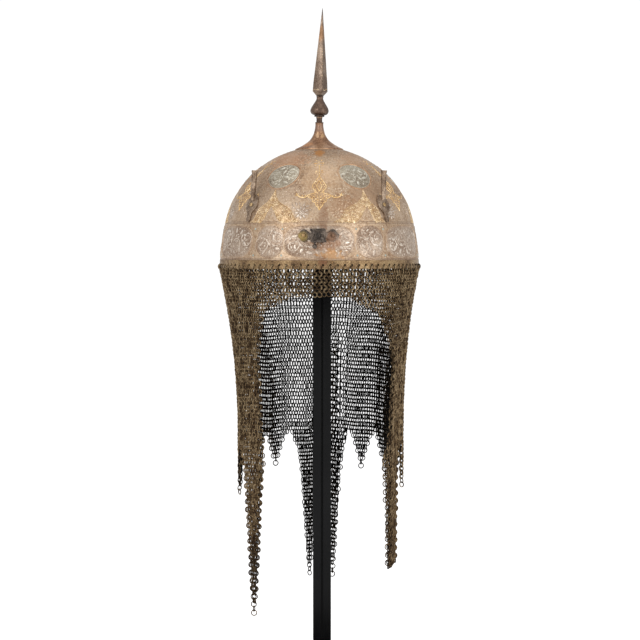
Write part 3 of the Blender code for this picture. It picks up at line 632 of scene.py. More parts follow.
def old_metal(name, dark, middle, light, cloud=45.0, grain=800.0, metallic=0.7, rough=(0.35, 0.6),
              depth=0.0001, wear_and_shade=0.0, deep=0.0, hollow_and_shade_tint=None, tone=0.0, stained=False, shine=0.5, patches=()):
    """An aged metal: three tints in clouds and grain; raised parts wear bright and sunk parts stay dark.

    Tints are screen values from 0 to 255. The attribute of wear, which on the mail carries painted shade on
    the inward sides of the wire, runs from the tint of hollows and shade at deep to none at its wear level,
    and tone is how much the single copies of a shape differ.
    """
    finish, bench, shader, place = new_finish(name)
    skin = bench.fill(OLD_SKIN, {"Place": place, "Cloud Scale": cloud, "Grain Scale": grain})
    blend = bench.sum("MULTIPLY_ADD", skin.outputs["Grain"], 0.45,
                      bench.sum("MULTIPLY", skin.outputs["Clouds"], 0.55))
    if tone:
        ring = bench.add("ShaderNodeAttribute", attribute_name="tone").outputs["Fac"]
        blend = bench.sum("MULTIPLY_ADD", bench.sum("SUBTRACT", ring, 0.5), tone, blend, clamp=True)
    tint = bench.ramp(blend, (0.15, colour(*dark)), (0.5, colour(*middle)), (0.85, colour(*light)))
    # Dark hollows of the ornament; on the mail this is painted shade on the inward sides of the wire.
    if hollow_and_shade_tint is not None:
        height = bench.add("ShaderNodeAttribute", attribute_name="wear_and_shade").outputs["Fac"]
        tint = bench.mix(bench.spread(height, wear_and_shade, deep), tint, colour(*hollow_and_shade_tint))
    tint = bench.mix(bench.sum("MULTIPLY", skin.outputs["Pits"], 0.6), tint, colour(*dark))
    if stained:
        tint = bench.fill(STAINED, {"Place": place, "Tint": tint}).outputs[0]
    tint = patched(bench, place, tint, patches)
    ruggedness = bench.spread(blend, 0.2, 0.8, rough[1], rough[0])
    finish_off(bench, shader, tint, ruggedness, metallic, skin.outputs["Relief"], depth)
    shader.inputs["Specular IOR Level"].default_value = shine
    return finish


def bowl_finish():
    """The bowl's rubbed face: brown steel with a ghost of inlaid scrollwork, rust and ochre stains."""
    finish, bench, shader, place = new_finish("worn_damascened_steel")
    skin = bench.fill(OLD_SKIN,
                      {"Place": place, "Cloud Scale": 24.0, "Grain Scale": 480.0, "Pit Scale": 300.0})
    blend = bench.sum("MULTIPLY_ADD", skin.outputs["Grain"], 0.36,
                      bench.sum("MULTIPLY", skin.outputs["Clouds"], 0.64))
    tint = bench.ramp(blend, (0.12, colour(122, 96, 74)), (0.5, colour(158, 131, 103)),
                      (0.88, colour(186, 162, 136)))
    vines = bench.fill(TENDRILS, {"Place": place, "Scale": 210.0, "Width": 0.2})
    tint = bench.mix(bench.sum("MULTIPLY", vines.outputs["Lines"], 0.34), tint, colour(200, 180, 158))
    fine = bench.fill(TENDRILS, {"Place": place, "Scale": 610.0, "Width": 0.2})
    tint = bench.mix(bench.sum("MULTIPLY", fine.outputs["Lines"], 0.2), tint, colour(112, 88, 68))
    tint = patched(bench, place, tint, WEATHERED)
    tint = bench.fill(STAINED, {"Place": place, "Tint": tint}).outputs[0]
    tint = bench.mix(bench.sum("MULTIPLY", skin.outputs["Pits"], 0.32), tint, colour(100, 74, 54))
    rough = bench.spread(blend, 0.2, 0.8, 0.58, 0.38)
    height = bench.sum("MULTIPLY_ADD", vines.outputs["Lines"], 0.4, skin.outputs["Relief"])
    finish_off(bench, shader, tint, rough, 0.65, height, 0.00008)
    return finish


BOWL_STEEL = bowl_finish()
BOWL_INSIDE = old_metal("bowl_inside", (46, 36, 29), (78, 62, 50), (104, 84, 66), metallic=0.5)
RIM_BRASS = old_metal("rim_strip_brass", (72, 52, 34), (126, 101, 70), (162, 137, 101), 60, 900,
                      stained=True)
GOLD = old_metal("inlaid_gold", (172, 130, 74), (222, 186, 130), (248, 226, 182), 200, 900, 0.75,
                 (0.3, 0.48), wear_and_shade=0.6, hollow_and_shade_tint=(142, 100, 62))
PALE_GOLD = old_metal("rubbed_gold", (160, 124, 82), (212, 184, 142), (242, 224, 192), 260, 900, 0.7,
                      (0.32, 0.5), wear_and_shade=0.6, hollow_and_shade_tint=(132, 100, 68), stained=True)
COPPER = old_metal("arch_ground", (136, 106, 78), (162, 132, 100), (188, 158, 126), 110, 900, 0.6,
                   stained=True)
SILVER = old_metal("cartouche_silver", (152, 134, 118), (188, 172, 156), (224, 212, 198), 60, 800,
                   0.7, (0.34, 0.55), wear_and_shade=0.75, hollow_and_shade_tint=(98, 78, 64), stained=True)
SILVER_GROUND = old_metal("cartouche_ground", (122, 100, 82), (158, 138, 120), (182, 164, 146), 50,
                          700, stained=True)
GREEN_SILVER = old_metal("medallion_silver", (142, 134, 118), (182, 173, 156), (208, 202, 187), 60,
                         800, 0.65, (0.34, 0.55), wear_and_shade=0.75, hollow_and_shade_tint=(110, 98, 84))
GREEN_GROUND = old_metal("medallion_ground", (114, 100, 84), (148, 136, 118), (172, 164, 146), 50, 700)
COPPER_RIM = old_metal("copper_fillet", (140, 98, 68), (182, 142, 108), (210, 174, 140), 120, 900,
                       0.7, wear_and_shade=0.6, hollow_and_shade_tint=(122, 88, 64), stained=True)
TURQUOISE = old_metal("turquoise_dots", (122, 128, 120), (146, 152, 144), (170, 176, 168), metallic=0.1)
LINE_STEEL = old_metal("engraved_line", (92, 72, 58), (128, 106, 88), (160, 138, 118), 80, 900,
                       wear_and_shade=0.6, hollow_and_shade_tint=(70, 52, 40))
DARK_IRON = old_metal("staple_iron", (44, 38, 34), (78, 68, 60), (120, 108, 97), 120, 900, patches=(
    ((-0.0199, -0.104, 0.4625), (0.0062, 0.012, 0.0062), 0.2, 0.9, (120, 100, 56)),
    ((0.0095, -0.104, 0.4620), (0.0064, 0.012, 0.0062), 0.4, 0.75, (126, 94, 72)),
))
INLAY = old_metal("worn_inlay", (156, 134, 110), (194, 172, 148), (218, 200, 178), 60, 900, 0.65,
                  (0.36, 0.55), wear_and_shade=0.75, hollow_and_shade_tint=(122, 96, 74), stained=True, patches=WEATHERED)
BAND_FILLET = old_metal("cartouche_fillet", (140, 110, 86), (178, 152, 126), (204, 182, 158), 120, 900,
                        0.7, wear_and_shade=0.6, hollow_and_shade_tint=(112, 86, 66), stained=True)
OLIVE_IRON = old_metal("holder_iron", (80, 63, 49), (128, 108, 90), (168, 148, 128), 110, 900)
SCREW_IRON = old_metal("screw_iron", (38, 33, 30), (64, 56, 50), (106, 95, 86), 140, 900)
SPIKE_STEEL = old_metal("spike_steel", (84, 68, 56), (112, 94, 80), (142, 124, 108), 60, 900, patches=(
    ((-0.0018, 0.0, 0.6750), (0.0100, 0.020, 0.0100), 0.2, 0.75, (140, 104, 72)),
    ((-0.0018, 0.0, 0.7010), (0.0100, 0.020, 0.0080), 0.1, 0.80, (78, 72, 68)),
    ((-0.0020, 0.0, 0.6080), (0.0100, 0.020, 0.0030), 0.2, 0.75, (54, 42, 34)),
))
BULB_STEEL = old_metal("bulb_steel", (58, 44, 37), (80, 62, 52), (104, 84, 70), 60, 900, patches=(
    ((-0.0026, 0.0, 0.5875), (0.0150, 0.015, 0.0042), 0.15, 0.75, (38, 27, 22)),
))
TRUMPET_STEEL = old_metal("trumpet_steel", (110, 78, 56), (148, 112, 84), (182, 146, 114), 60, 900,
                          patches=(
    ((-0.0028, 0.0, 0.5840), (0.0100, 0.010, 0.0042), 0.1, 0.95, (62, 47, 39)),
    ((-0.0028, 0.0, 0.5760), (0.0100, 0.010, 0.0055), 0.5, 0.65, (130, 106, 94)),
    ((-0.0048, -0.006, 0.5680), (0.0020, 0.010, 0.0040), 1.3, 0.5, (224, 188, 150)),
    ((0.0004, -0.006, 0.5675), (0.0016, 0.010, 0.0035), 1.3, 0.4, (214, 176, 130)),
    ((-0.0150, -0.010, 0.5580), (0.0060, 0.012, 0.0030), 0.9, 0.5, (196, 136, 84)),
))
# The mail's near-black tint (5, 4, 3) is painted shade on the inward sides of each ring's wire.
MAIL_IRON = old_metal("mail_iron", (64, 48, 33), (114, 93, 66), (158, 137, 106), 150, 600, 0.5,
                      (0.5, 0.72), wear_and_shade=0.97, deep=0.36, hollow_and_shade_tint=(5, 4, 3), tone=0.6, shine=0.1, patches=(
    ((-0.0700, -0.055, 0.1150), (0.0300, 0.040, 0.0380), 0.5, 0.55, (24, 17, 12)),
    # Painted shade: the back point is darkened near black where the back curtain's inner side lies in shade.
    ((-0.0028, 0.085, 0.1500), (0.0400, 0.040, 0.0900), 0.3, 0.30, (20, 15, 11)),
    ((-0.0028, -0.104, 0.4120), (0.0240, 0.020, 0.0200), 0.6, 0.40, (38, 29, 22)),
))
RIVET_BRASS = old_metal("rivet_brass", (112, 86, 54), (156, 128, 88), (188, 162, 122), 150, 900)


def black_paint():
    """Satin black paint with the faint orange peel and dust of a display stand, and painted shade with dust
    in the groove down the post's front.
    """
    finish, bench, shader, place = new_finish("black_stand_paint")
    skin = bench.fill(OLD_SKIN, {"Place": place, "Cloud Scale": 12.0, "Grain Scale": 900.0})
    tint = bench.ramp(skin.outputs["Clouds"], (0.2, colour(4, 4, 5)), (0.8, colour(9, 9, 10)))
    sides = bench.add("ShaderNodeSeparateXYZ", {0: place}).outputs
    # Painted shade with dust: the groove down the front of the post is darkened to near black.
    groove_dust_and_shade = bench.spread(bench.sum("ABSOLUTE", sides[0]), 0.0012, 0.0008)
    groove_dust_and_shade = bench.sum("MULTIPLY", groove_dust_and_shade, bench.spread(sides[1], -0.0040, -0.0044))
    tint = bench.mix(groove_dust_and_shade, tint, colour(1, 1, 1))
    rough = bench.spread(skin.outputs["Grain"], 0.2, 0.8, 0.3, 0.42)
    shader.inputs["Specular IOR Level"].default_value = 0.12
    finish_off(bench, shader, tint, rough, 0.0, skin.outputs["Grain"], 0.00003)
    return finish


BLACK_PAINT = black_paint()


# The bowl

def make_bowl():
    """The smooth shell with its raised rim strip, crown hole and 88 pierced holes."""
    rows = [0.0, 1.6 * MM, 6.2 * MM, STRIP_TOP]
    outer = [(BOWL_RADIUS + STRIP_PROUD - 0.0002, 0.0)]
    for height in rows:
        radius = radius_at(height)
        outer.append((radius + STRIP_PROUD, height + (0.0003 if height == 0.0 else 0.0)))
    above = OUTLINE[OUTLINE[:, 0] > STRIP_TOP + 0.0002]
    outer.append((float(np.interp(STRIP_TOP + 0.0001, OUTLINE[:, 0], OUTLINE[:, 1])), STRIP_TOP + 0.0001))
    outer += [(radius, height) for height, radius in above if radius > CROWN_HOLE]
    outer.append((CROWN_HOLE, BOWL_HEIGHT))
    lean = np.interp([height for _, height in outer], OUTLINE[:, 0], OUTLINE_LEAN)
    inner = []
    for (height, radius), tilt in zip(OUTLINE[::3], OUTLINE_LEAN[::3]):
        low = (radius - BOWL_WALL * math.cos(tilt), height - BOWL_WALL * math.sin(tilt))
        if low[0] > CROWN_HOLE + 0.001 and low[1] >= 0.0:
            inner.append(low)
    inner.append((CROWN_HOLE, BOWL_HEIGHT - BOWL_WALL))
    bm = spun(outer + inner[::-1], BOWL_STEPS, True, math.radians(180.0 / BOWL_STEPS))
    for face in bm.faces:
        middle = face.calc_center_median()
        away = Vector((middle.x, middle.y, 0.0)).normalized()
        outward = face.normal.dot(away) > 0.0 or face.normal.z > 0.5
        strip_end, elsewhere = (STRIP_TOP, 0) if outward else (0.0004, 2)
        face.material_index = 1 if middle.z < strip_end else elsewhere
    bmesh.ops.translate(bm, verts=bm.verts, vec=(HELMET_X, 0.0, RIM_Z))
    mesh = mesh_of("bowl_shell", bm)
    for finish in (BOWL_STEEL, RIM_BRASS, BOWL_INSIDE):
        mesh.materials.append(finish)
    shell = placed("bowl_shell", mesh)

    bm = bmesh.new()
    for i in range(RIM_HOLES):
        turn = math.radians((i + 0.5) * 360.0 / RIM_HOLES)
        across = Matrix.Rotation(turn, 4, "Z") @ Matrix.Rotation(math.radians(90), 4, "X")
        middle = Vector((math.sin(turn), -math.cos(turn), 0.0)) * BOWL_RADIUS
        place = Matrix.Translation(middle + Vector((HELMET_X, 0.0, RIM_Z + HOLE_HEIGHT))) @ across
        bmesh.ops.create_cone(bm, cap_ends=True, segments=12, radius1=HOLE_RADIUS, radius2=HOLE_RADIUS,
                              depth=0.012, matrix=place)
    cutter_mesh = mesh_of("rim_hole_drills", bm)
    cutter_mesh.materials.append(BOWL_INSIDE)
    cutter = placed("rim_hole_drills", cutter_mesh)
    cut = shell.modifiers.new("rim_holes", "BOOLEAN")
    cut.operation, cut.solver, cut.object, cut.material_mode = "DIFFERENCE", "EXACT", cutter, "TRANSFER"
    bpy.context.view_layer.update()
    pierced = bpy.data.meshes.new_from_object(shell.evaluated_get(bpy.context.evaluated_depsgraph_get()))
    pierced.name = "bowl_shell"
    bpy.data.objects.remove(shell)
    bpy.data.objects.remove(cutter)
    show("bowl_shell", pierced, [], replaces=["bowl"], sharp=32)


make_bowl()


# Raised ornament

DOT, LEAF_LEFT, LEAF_RIGHT, EYE = 0, 1, 2, 3
STAMPS = [dot_shape(), leaf_shape(0.22), leaf_shape(-0.22), eye_shape()]
STAMP_WORN = [np.clip(points[:, 2] / points[:, 2].max(), 0.0, 1.0) for points, _ in STAMPS]


def stamp(anchor, across, along, size, turn=0.0, number=DOT, lift=0.0, flatten=1.0):
    """The place of one small raised shape; its turn is from across towards along, in degrees."""
    azimuth, height = spot(anchor, across, along)
    origin = on_bowl(azimuth, height, lift)
    step = 0.0002
    east = on_bowl(azimuth + 0.1, height, lift) - origin
    north = laid(anchor, across, along + step, lift) - origin
    east /= np.linalg.norm(east)
    north -= east * north.dot(east)
    north /= np.linalg.norm(north)
    out = np.cross(east, north)
    a = math.radians(turn)
    first = east * math.cos(a) + north * math.sin(a)
    second = north * math.cos(a) - east * math.sin(a)
    axes = np.stack([first * size, second * size, out * size * flatten])
    return number, origin, axes, STAMP_WORN[number], chance.random()


def foliage(anchor, half_width, half_height, power, spacing, seed, stamps):
    """Fills a rounded outline with large leaves curling round scroll centres, and small ones between."""
    local = random.Random(seed)
    count = 2 * max(1, round(half_width / half_height))
    centres = []
    for i in range(count):
        x = (i + 0.5) / count * 2.0 - 1.0
        centres.append((x * half_width, (0.3 if i % 2 else -0.3) * half_height, 1 if i % 2 else -1))
    kept = []
    for gap, flatten in ((spacing * 1.75, 0.42), (spacing * 0.95, 0.75), (spacing * 0.62, 0.9)):
        for _ in range(int(40 * half_width * half_height / gap ** 2)):
            x = local.uniform(-1, 1) * half_width
            y = local.uniform(-1, 1) * half_height
            angle = math.atan2(y / half_height, x / half_width)
            inside = 0.99 - 0.42 * gap / half_height
            if math.hypot(x / half_width, y / half_height) > rounded_reach(angle, power) * inside:
                continue
            if any((x - a) ** 2 + (y - b) ** 2 < (0.5 * (gap + c)) ** 2 for a, b, c in kept):
                continue
            kept.append((x, y, gap))
            near = min(centres, key=lambda c: (x - c[0]) ** 2 + (y - c[1]) ** 2)
            swirl = math.degrees(math.atan2(y - near[1], x - near[0]))
            swirl = swirl + near[2] * (72 + local.uniform(-20, 20))
            number = LEAF_LEFT if near[2] > 0 else LEAF_RIGHT
            size = gap * local.uniform(0.6, 0.74)
            stamps.append(stamp(anchor, x, y, size, swirl, number, 0.00010,
                                flatten * local.uniform(0.85, 1.15)))


def vines(bm, anchor, half_width, half_height, seed):
    """Scrolling stems with a curl at every bend."""
    local = random.Random(seed)
    count = max(1, round(half_width / half_height)) * 2
    for i in range(count):
        x = ((i + 0.5) / count * 2.0 - 1.0) * half_width
        hand = 1 if i % 2 else -1
        size = min(half_width / count * 1.15, half_height * 0.62)
        share = np.linspace(0.0, 1.0, 34)
        angle = math.radians(local.uniform(200, 250)) * -hand + hand * share * 2 * np.pi * 1.45
        reach = size * (1.0 - 0.86 * share) ** 0.85
        path = np.stack([x + reach * np.cos(angle), 0.22 * half_height * hand + reach * np.sin(angle)], 1)
        add_ridge(bm, anchor, path, 0.70 * MM, 0.50 * MM, taper=0.35)


def fillet(bm, anchor, half_width, half_height, power, steps, width=0.42 * MM, height=0.42 * MM):
    """A raised line round a rounded outline."""
    add_ridge(bm, anchor, rounded_outline(half_width, half_height, power, steps), width, height,
              closed=True)


# Leaves between two cartouches: millimetres across, height, size in millimetres and turn.
CORNER_LEAVES = (
    (0.0, 0.0430, 1.5, 90), (-3.2, 0.0418, 1.5, 20), (3.2, 0.0418, 1.5, 160), (0.0, 0.0362, 1.4, 90),
    (0.0, 0.0178, 1.4, 90), (0.0, 0.0112, 1.3, 90), (-3.2, 0.0128, 1.4, -20), (3.2, 0.0128, 1.4, 200),
)


def make_cartouches():
    """The band of long and round cartouches between the two engraved lines."""
    ground, rims, stems = bmesh.new(), bmesh.new(), bmesh.new()
    leaves, dots, between = [], [], []
    for i in range(REPEATS):
        middle = i * SECTOR
        half = LONG_HALF if i == 0 else SIDE_HALF
        height = CARTOUCHE_HALF
        plates = (((middle, CARTOUCHE_MIDDLE), half, 3.2, 40, 96),
                  ((middle + ROUND_TURN, CARTOUCHE_MIDDLE), ROUND_HALF, 2.3, 18, 56))
        for number, (at, width, power, columns, steps) in enumerate(plates):
            add_ground(ground, at, width, height, power, GROUND_RISE, columns, 16)
            fillet(rims, at, width, height, power, steps)
            fillet(rims, at, width - 0.0014, height - 0.0014, power, steps, 0.22 * MM, 0.36 * MM)
            vines(stems, at, width, height, 7 + 2 * i + number)
            foliage(at, width - 0.0016, height - 0.0016, power, 3.7 * MM, 70 + 2 * i + number, leaves)
        for side in (-1, 1):
            edge = middle + side * (21.7 if i == 0 else 19.8)
            for height, size in ((0.0400, 1.1), (0.0135, 1.2)):
                dots.append(stamp((edge, height), 0.0, 0.0, size * MM, 0.0, DOT, 0.0, 0.45))
            for across, height, size, turn in CORNER_LEAVES:
                place = (edge, height)
                between.append(stamp(place, across * MM, 0.0, size * MM, turn, LEAF_LEFT, 0.0, 0.4))
    show_built("cartouche_grounds", ground, SILVER_GROUND)
    show_built("cartouche_rims", rims, BAND_FILLET)
    show_built("cartouche_stems", stems, SILVER)
    half = len(leaves) // 2
    show_stamped("cartouche_leaves_a", leaves[:half], SILVER)
    show_stamped("cartouche_leaves_b", leaves[half:], SILVER)
    show_stamped("turquoise_studs", dots, TURQUOISE)
    show_stamped("corner_leaves", between, INLAY)


def make_medallions():
    """Oval medallions of silver foliage between the arabesques."""
    ground, rims, stems = bmesh.new(), bmesh.new(), bmesh.new()
    leaves = []
    width, height = MEDALLION_HALF
    for i in range(REPEATS):
        anchor = ((i + 0.5) * SECTOR, MEDALLION_HEIGHT)
        add_ground(ground, anchor, width - 0.0017, height - 0.0017, 2.0, GROUND_RISE, 20, 20)
        fillet(rims, anchor, width, height, 2.0, 64, 0.36 * MM, 0.40 * MM)
        fillet(stems, anchor, width - 0.0019, height - 0.0019, 2.0, 64, 0.3 * MM, 0.3 * MM)
        vines(stems, anchor, width - 0.0018, height - 0.0018, 30 + i)
        foliage(anchor, width - 0.0026, height - 0.0026, 2.0, 3.7 * MM, 300 + i, leaves)
    show_built("medallion_grounds", ground, GREEN_GROUND)
    show_built("medallion_rims", rims, COPPER_RIM)
    show_built("medallion_stems", stems, GREEN_SILVER)
    show_stamped("medallion_leaves", leaves, GREEN_SILVER)


def make_lines():
    """The fillets that edge the band of cartouches."""
    bm = bmesh.new()
    for height in (BAND_LOW, BAND_LOW - 0.0011, BAND_HIGH, BAND_HIGH + 0.0014):
        radius = radius_at(height)
        across = np.linspace(-np.pi, np.pi, 177)[:-1] * radius
        path = np.stack([across, np.zeros(len(across))], 1)
        path = np.concatenate([path, [[np.pi * radius, 0.0]]])
        add_ridge(bm, (0.0, height), path, 0.26 * MM, 0.26 * MM, across_steps=3)
    bmesh.ops.remove_doubles(bm, verts=bm.verts, dist=0.00001)
    show_built("band_lines", bm, LINE_STEEL)


# One side of an arch, from its apex down: degrees from the apex and height.
ARCH_OUTER = (
    (0.0, 0.0800), (1.1, 0.0755), (2.8, 0.0712), (5.0, 0.0675), (8.1, 0.0647), (11.4, 0.0621),
    (13.9, 0.0588), (15.2, 0.0545), (16.6, 0.0507), (19.2, 0.0479), (20.4, 0.0466),
)
ARCH_INNER = (
    (0.0, 0.0640), (1.4, 0.0606), (3.2, 0.0570), (4.5, 0.0530), (5.8, 0.0500), (7.0, 0.0480), (7.8, 0.0466),
)
ARCH_DOTS = (0.62, 0.5, 0.42)
# Each pair: the apex in degrees and how wide its left and its right side spread.
ARCH_APEXES = (
    (-31.2, -0.68, 1.0), (31.2, -1.12, 0.55), (90.0, -0.82, 0.82), (-90.0, -0.82, 0.82),
    (150.0, -0.82, 0.82), (-150.0, -0.82, 0.82),
)


def make_arches():
    """Pairs of leaf-shaped bands of gold dots that meet in a point."""
    ground, edges = bmesh.new(), bmesh.new()
    dots = []
    outer_line, inner_line = smooth_line(ARCH_OUTER, 6), smooth_line(ARCH_INNER, 6)
    for apex, left, right in ARCH_APEXES:
        anchor = (apex, BAND_HIGH)
        for share in (left, right):
            sides = []
            for line in (outer_line, inner_line):
                across, along = measured(anchor, apex + line[:, 0] * share, line[:, 1])
                sides.append(np.stack([across, along], 1))
            outer, inner = sides
            lower, upper = (inner, outer) if share > 0 else (outer, inner)

            def place(u, v):
                at = u * (len(outer) - 1)
                low = np.stack([np.interp(at, range(len(lower)), lower[:, k]) for k in (0, 1)], 1)
                high = np.stack([np.interp(at, range(len(upper)), upper[:, k]) for k in (0, 1)], 1)
                point = low + (high - low) * v[:, None]
                rise = 0.00016 * np.minimum(1.0, 8.0 * np.minimum(v, 1.0 - v)) - 0.00002
                return laid(anchor, point[:, 0], point[:, 1], rise), 0.4

            add_grid(ground, 30, 8, place)
            for line in sides:
                add_ridge(edges, anchor, line, 0.30 * MM, 0.36 * MM)
            reach = np.concatenate([[0.0], np.cumsum(np.linalg.norm(np.diff(outer, axis=0), axis=1))])
            for number, step in enumerate(np.arange(2.2 * MM, reach[-1] - 0.6 * MM, 2.1 * MM)):
                at = np.interp(step, reach, np.arange(len(reach)))
                a = np.array([np.interp(at, range(len(outer)), outer[:, k]) for k in (0, 1)])
                b = np.array([np.interp(at, range(len(inner)), inner[:, k]) for k in (0, 1)])
                width = np.linalg.norm(b - a)
                count = max(1, int((width - 0.6 * MM) / (2.1 * MM)))
                for k in range(count):
                    share_across = (k + 0.5 + 0.22 * (-1) ** number) / count
                    x, y = a + (b - a) * min(max(share_across, 0.12), 0.88)
                    if (k + number) % 3 == 1:
                        dots.append(stamp(anchor, x, y, 0.95 * MM, 0.0, EYE, 0.0002, 0.7))
                    else:
                        size = ARCH_DOTS[(k + number) % 3] * MM
                        dots.append(stamp(anchor, x, y, size, 0.0, DOT, 0.0001, 0.6))
    bmesh.ops.recalc_face_normals(ground, faces=ground.faces)
    for face in ground.faces:
        middle = face.calc_center_median() - Vector((HELMET_X, 0.0, RIM_Z))
        if face.normal.dot(middle) < 0.0:
            face.normal_flip()
    show_built("arch_grounds", ground, COPPER)
    show_built("arch_edges", edges, PALE_GOLD)
    show_stamped("arch_dots", dots, PALE_GOLD)


make_cartouches()
make_medallions()
make_lines()
make_arches()


# Central arabesque, one side; it is mirrored, in millimetres across and height above the rim.
HALO = ((0.0, 94.0), (1.6, 91.2), (4.4, 87.5), (7.0, 83.0), (5.4, 79.6), (3.0, 77.6), (4.8, 76.2),
        (8.4, 75.2), (12.0, 74.0))
BODY = ((12.0, 74.0), (10.2, 71.6), (7.2, 70.4), (6.8, 67.6), (4.0, 66.4), (3.4, 63.6), (1.4, 61.6),
        (0.0, 58.8))
ARM = ((11.5, 73.4), (15.0, 71.8), (18.5, 72.0), (21.0, 72.9), (22.4, 74.4))
DIAMOND = ((0.0, 89.0), (1.3, 86.2), (2.7, 83.4), (1.3, 80.6), (0.0, 77.8))
STEM = ((0.0, 94.0), (0.0, 97.0), (0.0, 100.5), (0.0, 104.0))
ARABESQUE_DOTS = (
    (1.5, 91.0), (3.9, 85.0), (5.2, 82.6), (3.8, 80.0), (1.8, 76.2), (4.4, 74.6), (7.4, 73.6), (9.8, 73.2),
    (1.9, 73.0), (4.7, 71.4), (2.2, 69.8), (4.9, 68.6), (1.9, 66.6), (1.6, 64.0), (6.9, 71.8), (0.9, 62.0),
    (4.6, 77.4), (2.6, 87.6),
)
# Leaves as across, height, size, turn and how domed they are.
ARABESQUE_LEAVES = tuple((x, z, 1.35, turn, 0.7) for x, z, turn in (
    (3.4, 104.8, 20), (3.2, 97.0, 0), (1.4, 72.0, 45), (1.4, 69.0, -45), (3.6, 70.2, 0), (22.8, 75.4, 80),
    (23.6, 73.8, 10), (21.6, 75.0, 150), (17.0, 73.6, 60), (14.0, 73.4, 120), (2.0, 107.2, 60),
    (5.4, 73.0, 30),
)) + tuple((x, z, size, turn, 0.8) for x, z, size, turn in (
    (4.0, 107.0, 2.0, 15), (2.6, 110.0, 1.7, 60), (2.9, 98.8, 1.7, 10), (1.8, 95.6, 1.0, 60),
))
# Half the ground's width at each height.
LOZENGE_HALF = ((58.8, 0.0), (63.6, 3.4), (66.4, 4.0), (67.6, 6.8), (70.4, 7.2), (71.6, 10.2),
                (74.0, 12.0), (75.2, 8.4), (76.2, 4.8), (77.6, 3.0), (79.6, 5.4), (83.0, 7.0),
                (87.5, 4.4), (91.2, 1.6), (94.0, 0.0))


def make_arabesques():
    """A gold spearhead with two arms over a ground of its own, in the middle of each repeat."""
    edges, ground = bmesh.new(), bmesh.new()
    marks = []
    base = length_at(ARABESQUE_FOOT)
    for i in range(REPEATS):
        for side in (-1, 1):
            anchor = (i * SECTOR, ARABESQUE_FOOT)

            def lozenge(u, v):
                height = 0.0590 + v * 0.0350
                half = np.interp(height / MM, *np.array(LOZENGE_HALF).T) * MM
                across = (2.0 * u - 1.0) * half * 0.94
                length = np.interp(height, OUTLINE[:, 0], OUTLINE_LENGTH) - base
                return laid(anchor, across, length, 0.00007 - 0.0001 * (2.0 * u - 1.0) ** 8), 0.4

            def local(points):
                across = np.array([x for x, _ in points]) * side * MM
                along = np.interp([z * MM for _, z in points], OUTLINE[:, 0], OUTLINE_LENGTH) - base
                return np.stack([across, along], 1)

            for line, width in ((HALO, 0.48), (BODY, 0.5), (ARM, 0.62), (DIAMOND, 0.5)):
                add_ridge(edges, anchor, smooth_line(local(line), 5), width * MM, 0.36 * MM)
            for x, y in local(ARABESQUE_DOTS):
                marks.append(stamp(anchor, x, y, 0.62 * MM, 0.0, DOT, 0.0, 0.6))
            for x, z, size, turn, flatten in ARABESQUE_LEAVES:
                across, along = local([(x, z)])[0]
                turn = turn if side > 0 else 180 - turn
                marks.append(stamp(anchor, across, along, size * MM, turn, LEAF_LEFT, 0.00005, flatten))
        add_grid(ground, 14, 30, lozenge)
        add_ridge(edges, anchor, smooth_line(local(STEM), 4), 0.5 * MM, 0.4 * MM)
        for z, size, turn in ((108.4, 2.0, 90), (83.4, 1.2, 90), (104.6, 1.0, 90), (97.0, 0.8, 90),
                              (60.6, 1.5, 90)):
            x, y = local([(0.0, z)])[0]
            marks.append(stamp(anchor, x, y, size * MM, turn, LEAF_LEFT if size > 1.1 else DOT, 0.0, 0.7))
    show_built("arabesque_grounds", ground, COPPER)
    show_built("arabesque_lines", edges, GOLD)
    show_stamped("arabesque_marks", marks, GOLD)


# Sprays, in millimetres: the leaves round each, and the sprigs above it as across, along, size and turn.
SPRAY_TURN = 10.6
SPRAY_HEIGHT = 0.0565
SPRAY_LEAVES = 9
SPRAY_SPRIGS = (
    (-6.5, 9.0, 2.6, 128), (-3.2, 9.6, 2.2, 100), (1.5, 8.6, 2.2, 60), (5.2, 7.0, 2.2, 24),
    (-8.6, 4.6, 2.0, 170), (-9.8, 7.4, 1.8, 120), (8.8, 3.4, 1.8, -20),
)


def make_rosettes():
    """Sprays between the arabesques and the arches, silver on one side and rubbed down on the other."""
    for side, name, finish in ((-1, "silver_sprays", SILVER), (1, "worn_sprays", INLAY)):
        marks, stems = [], bmesh.new()
        for i in range(REPEATS):
            anchor = (i * SECTOR + side * SPRAY_TURN, SPRAY_HEIGHT)
            leaf = LEAF_LEFT if side > 0 else LEAF_RIGHT
            for k in range(SPRAY_LEAVES):
                turn = k * 360.0 / SPRAY_LEAVES + 12.0 * side
                reach = 4.9 * MM
                x, y = reach * math.cos(math.radians(turn)), reach * math.sin(math.radians(turn))
                marks.append(stamp(anchor, x, y, 2.7 * MM, turn, leaf, 0.0, 0.5))
            marks.append(stamp(anchor, 0.0, 0.0, 2.3 * MM, 0.0, EYE, 0.0, 0.4))
            marks.append(stamp(anchor, 0.0, 0.0, 1.0 * MM, 0.0, DOT, 0.0, 0.5))
            for x, y, size, turn in SPRAY_SPRIGS:
                turn = turn if side < 0 else 180 - turn
                marks.append(stamp(anchor, -side * x * MM, y * MM, size * MM, turn, leaf, 0.0, 0.45))
            share = np.linspace(0.0, 1.0, 30)
            for start in (20.0, 200.0):
                angle = np.radians(start) + share * 4.6 * side
                reach = (2.0 + 5.8 * share) * MM
                path = np.stack([reach * np.cos(angle), reach * np.sin(angle)], 1)
                add_ridge(stems, anchor, path, 0.26 * MM, 0.22 * MM, taper=0.5)
        show_stamped(name, marks, finish)
        show_built(name + "_stems", stems, finish)


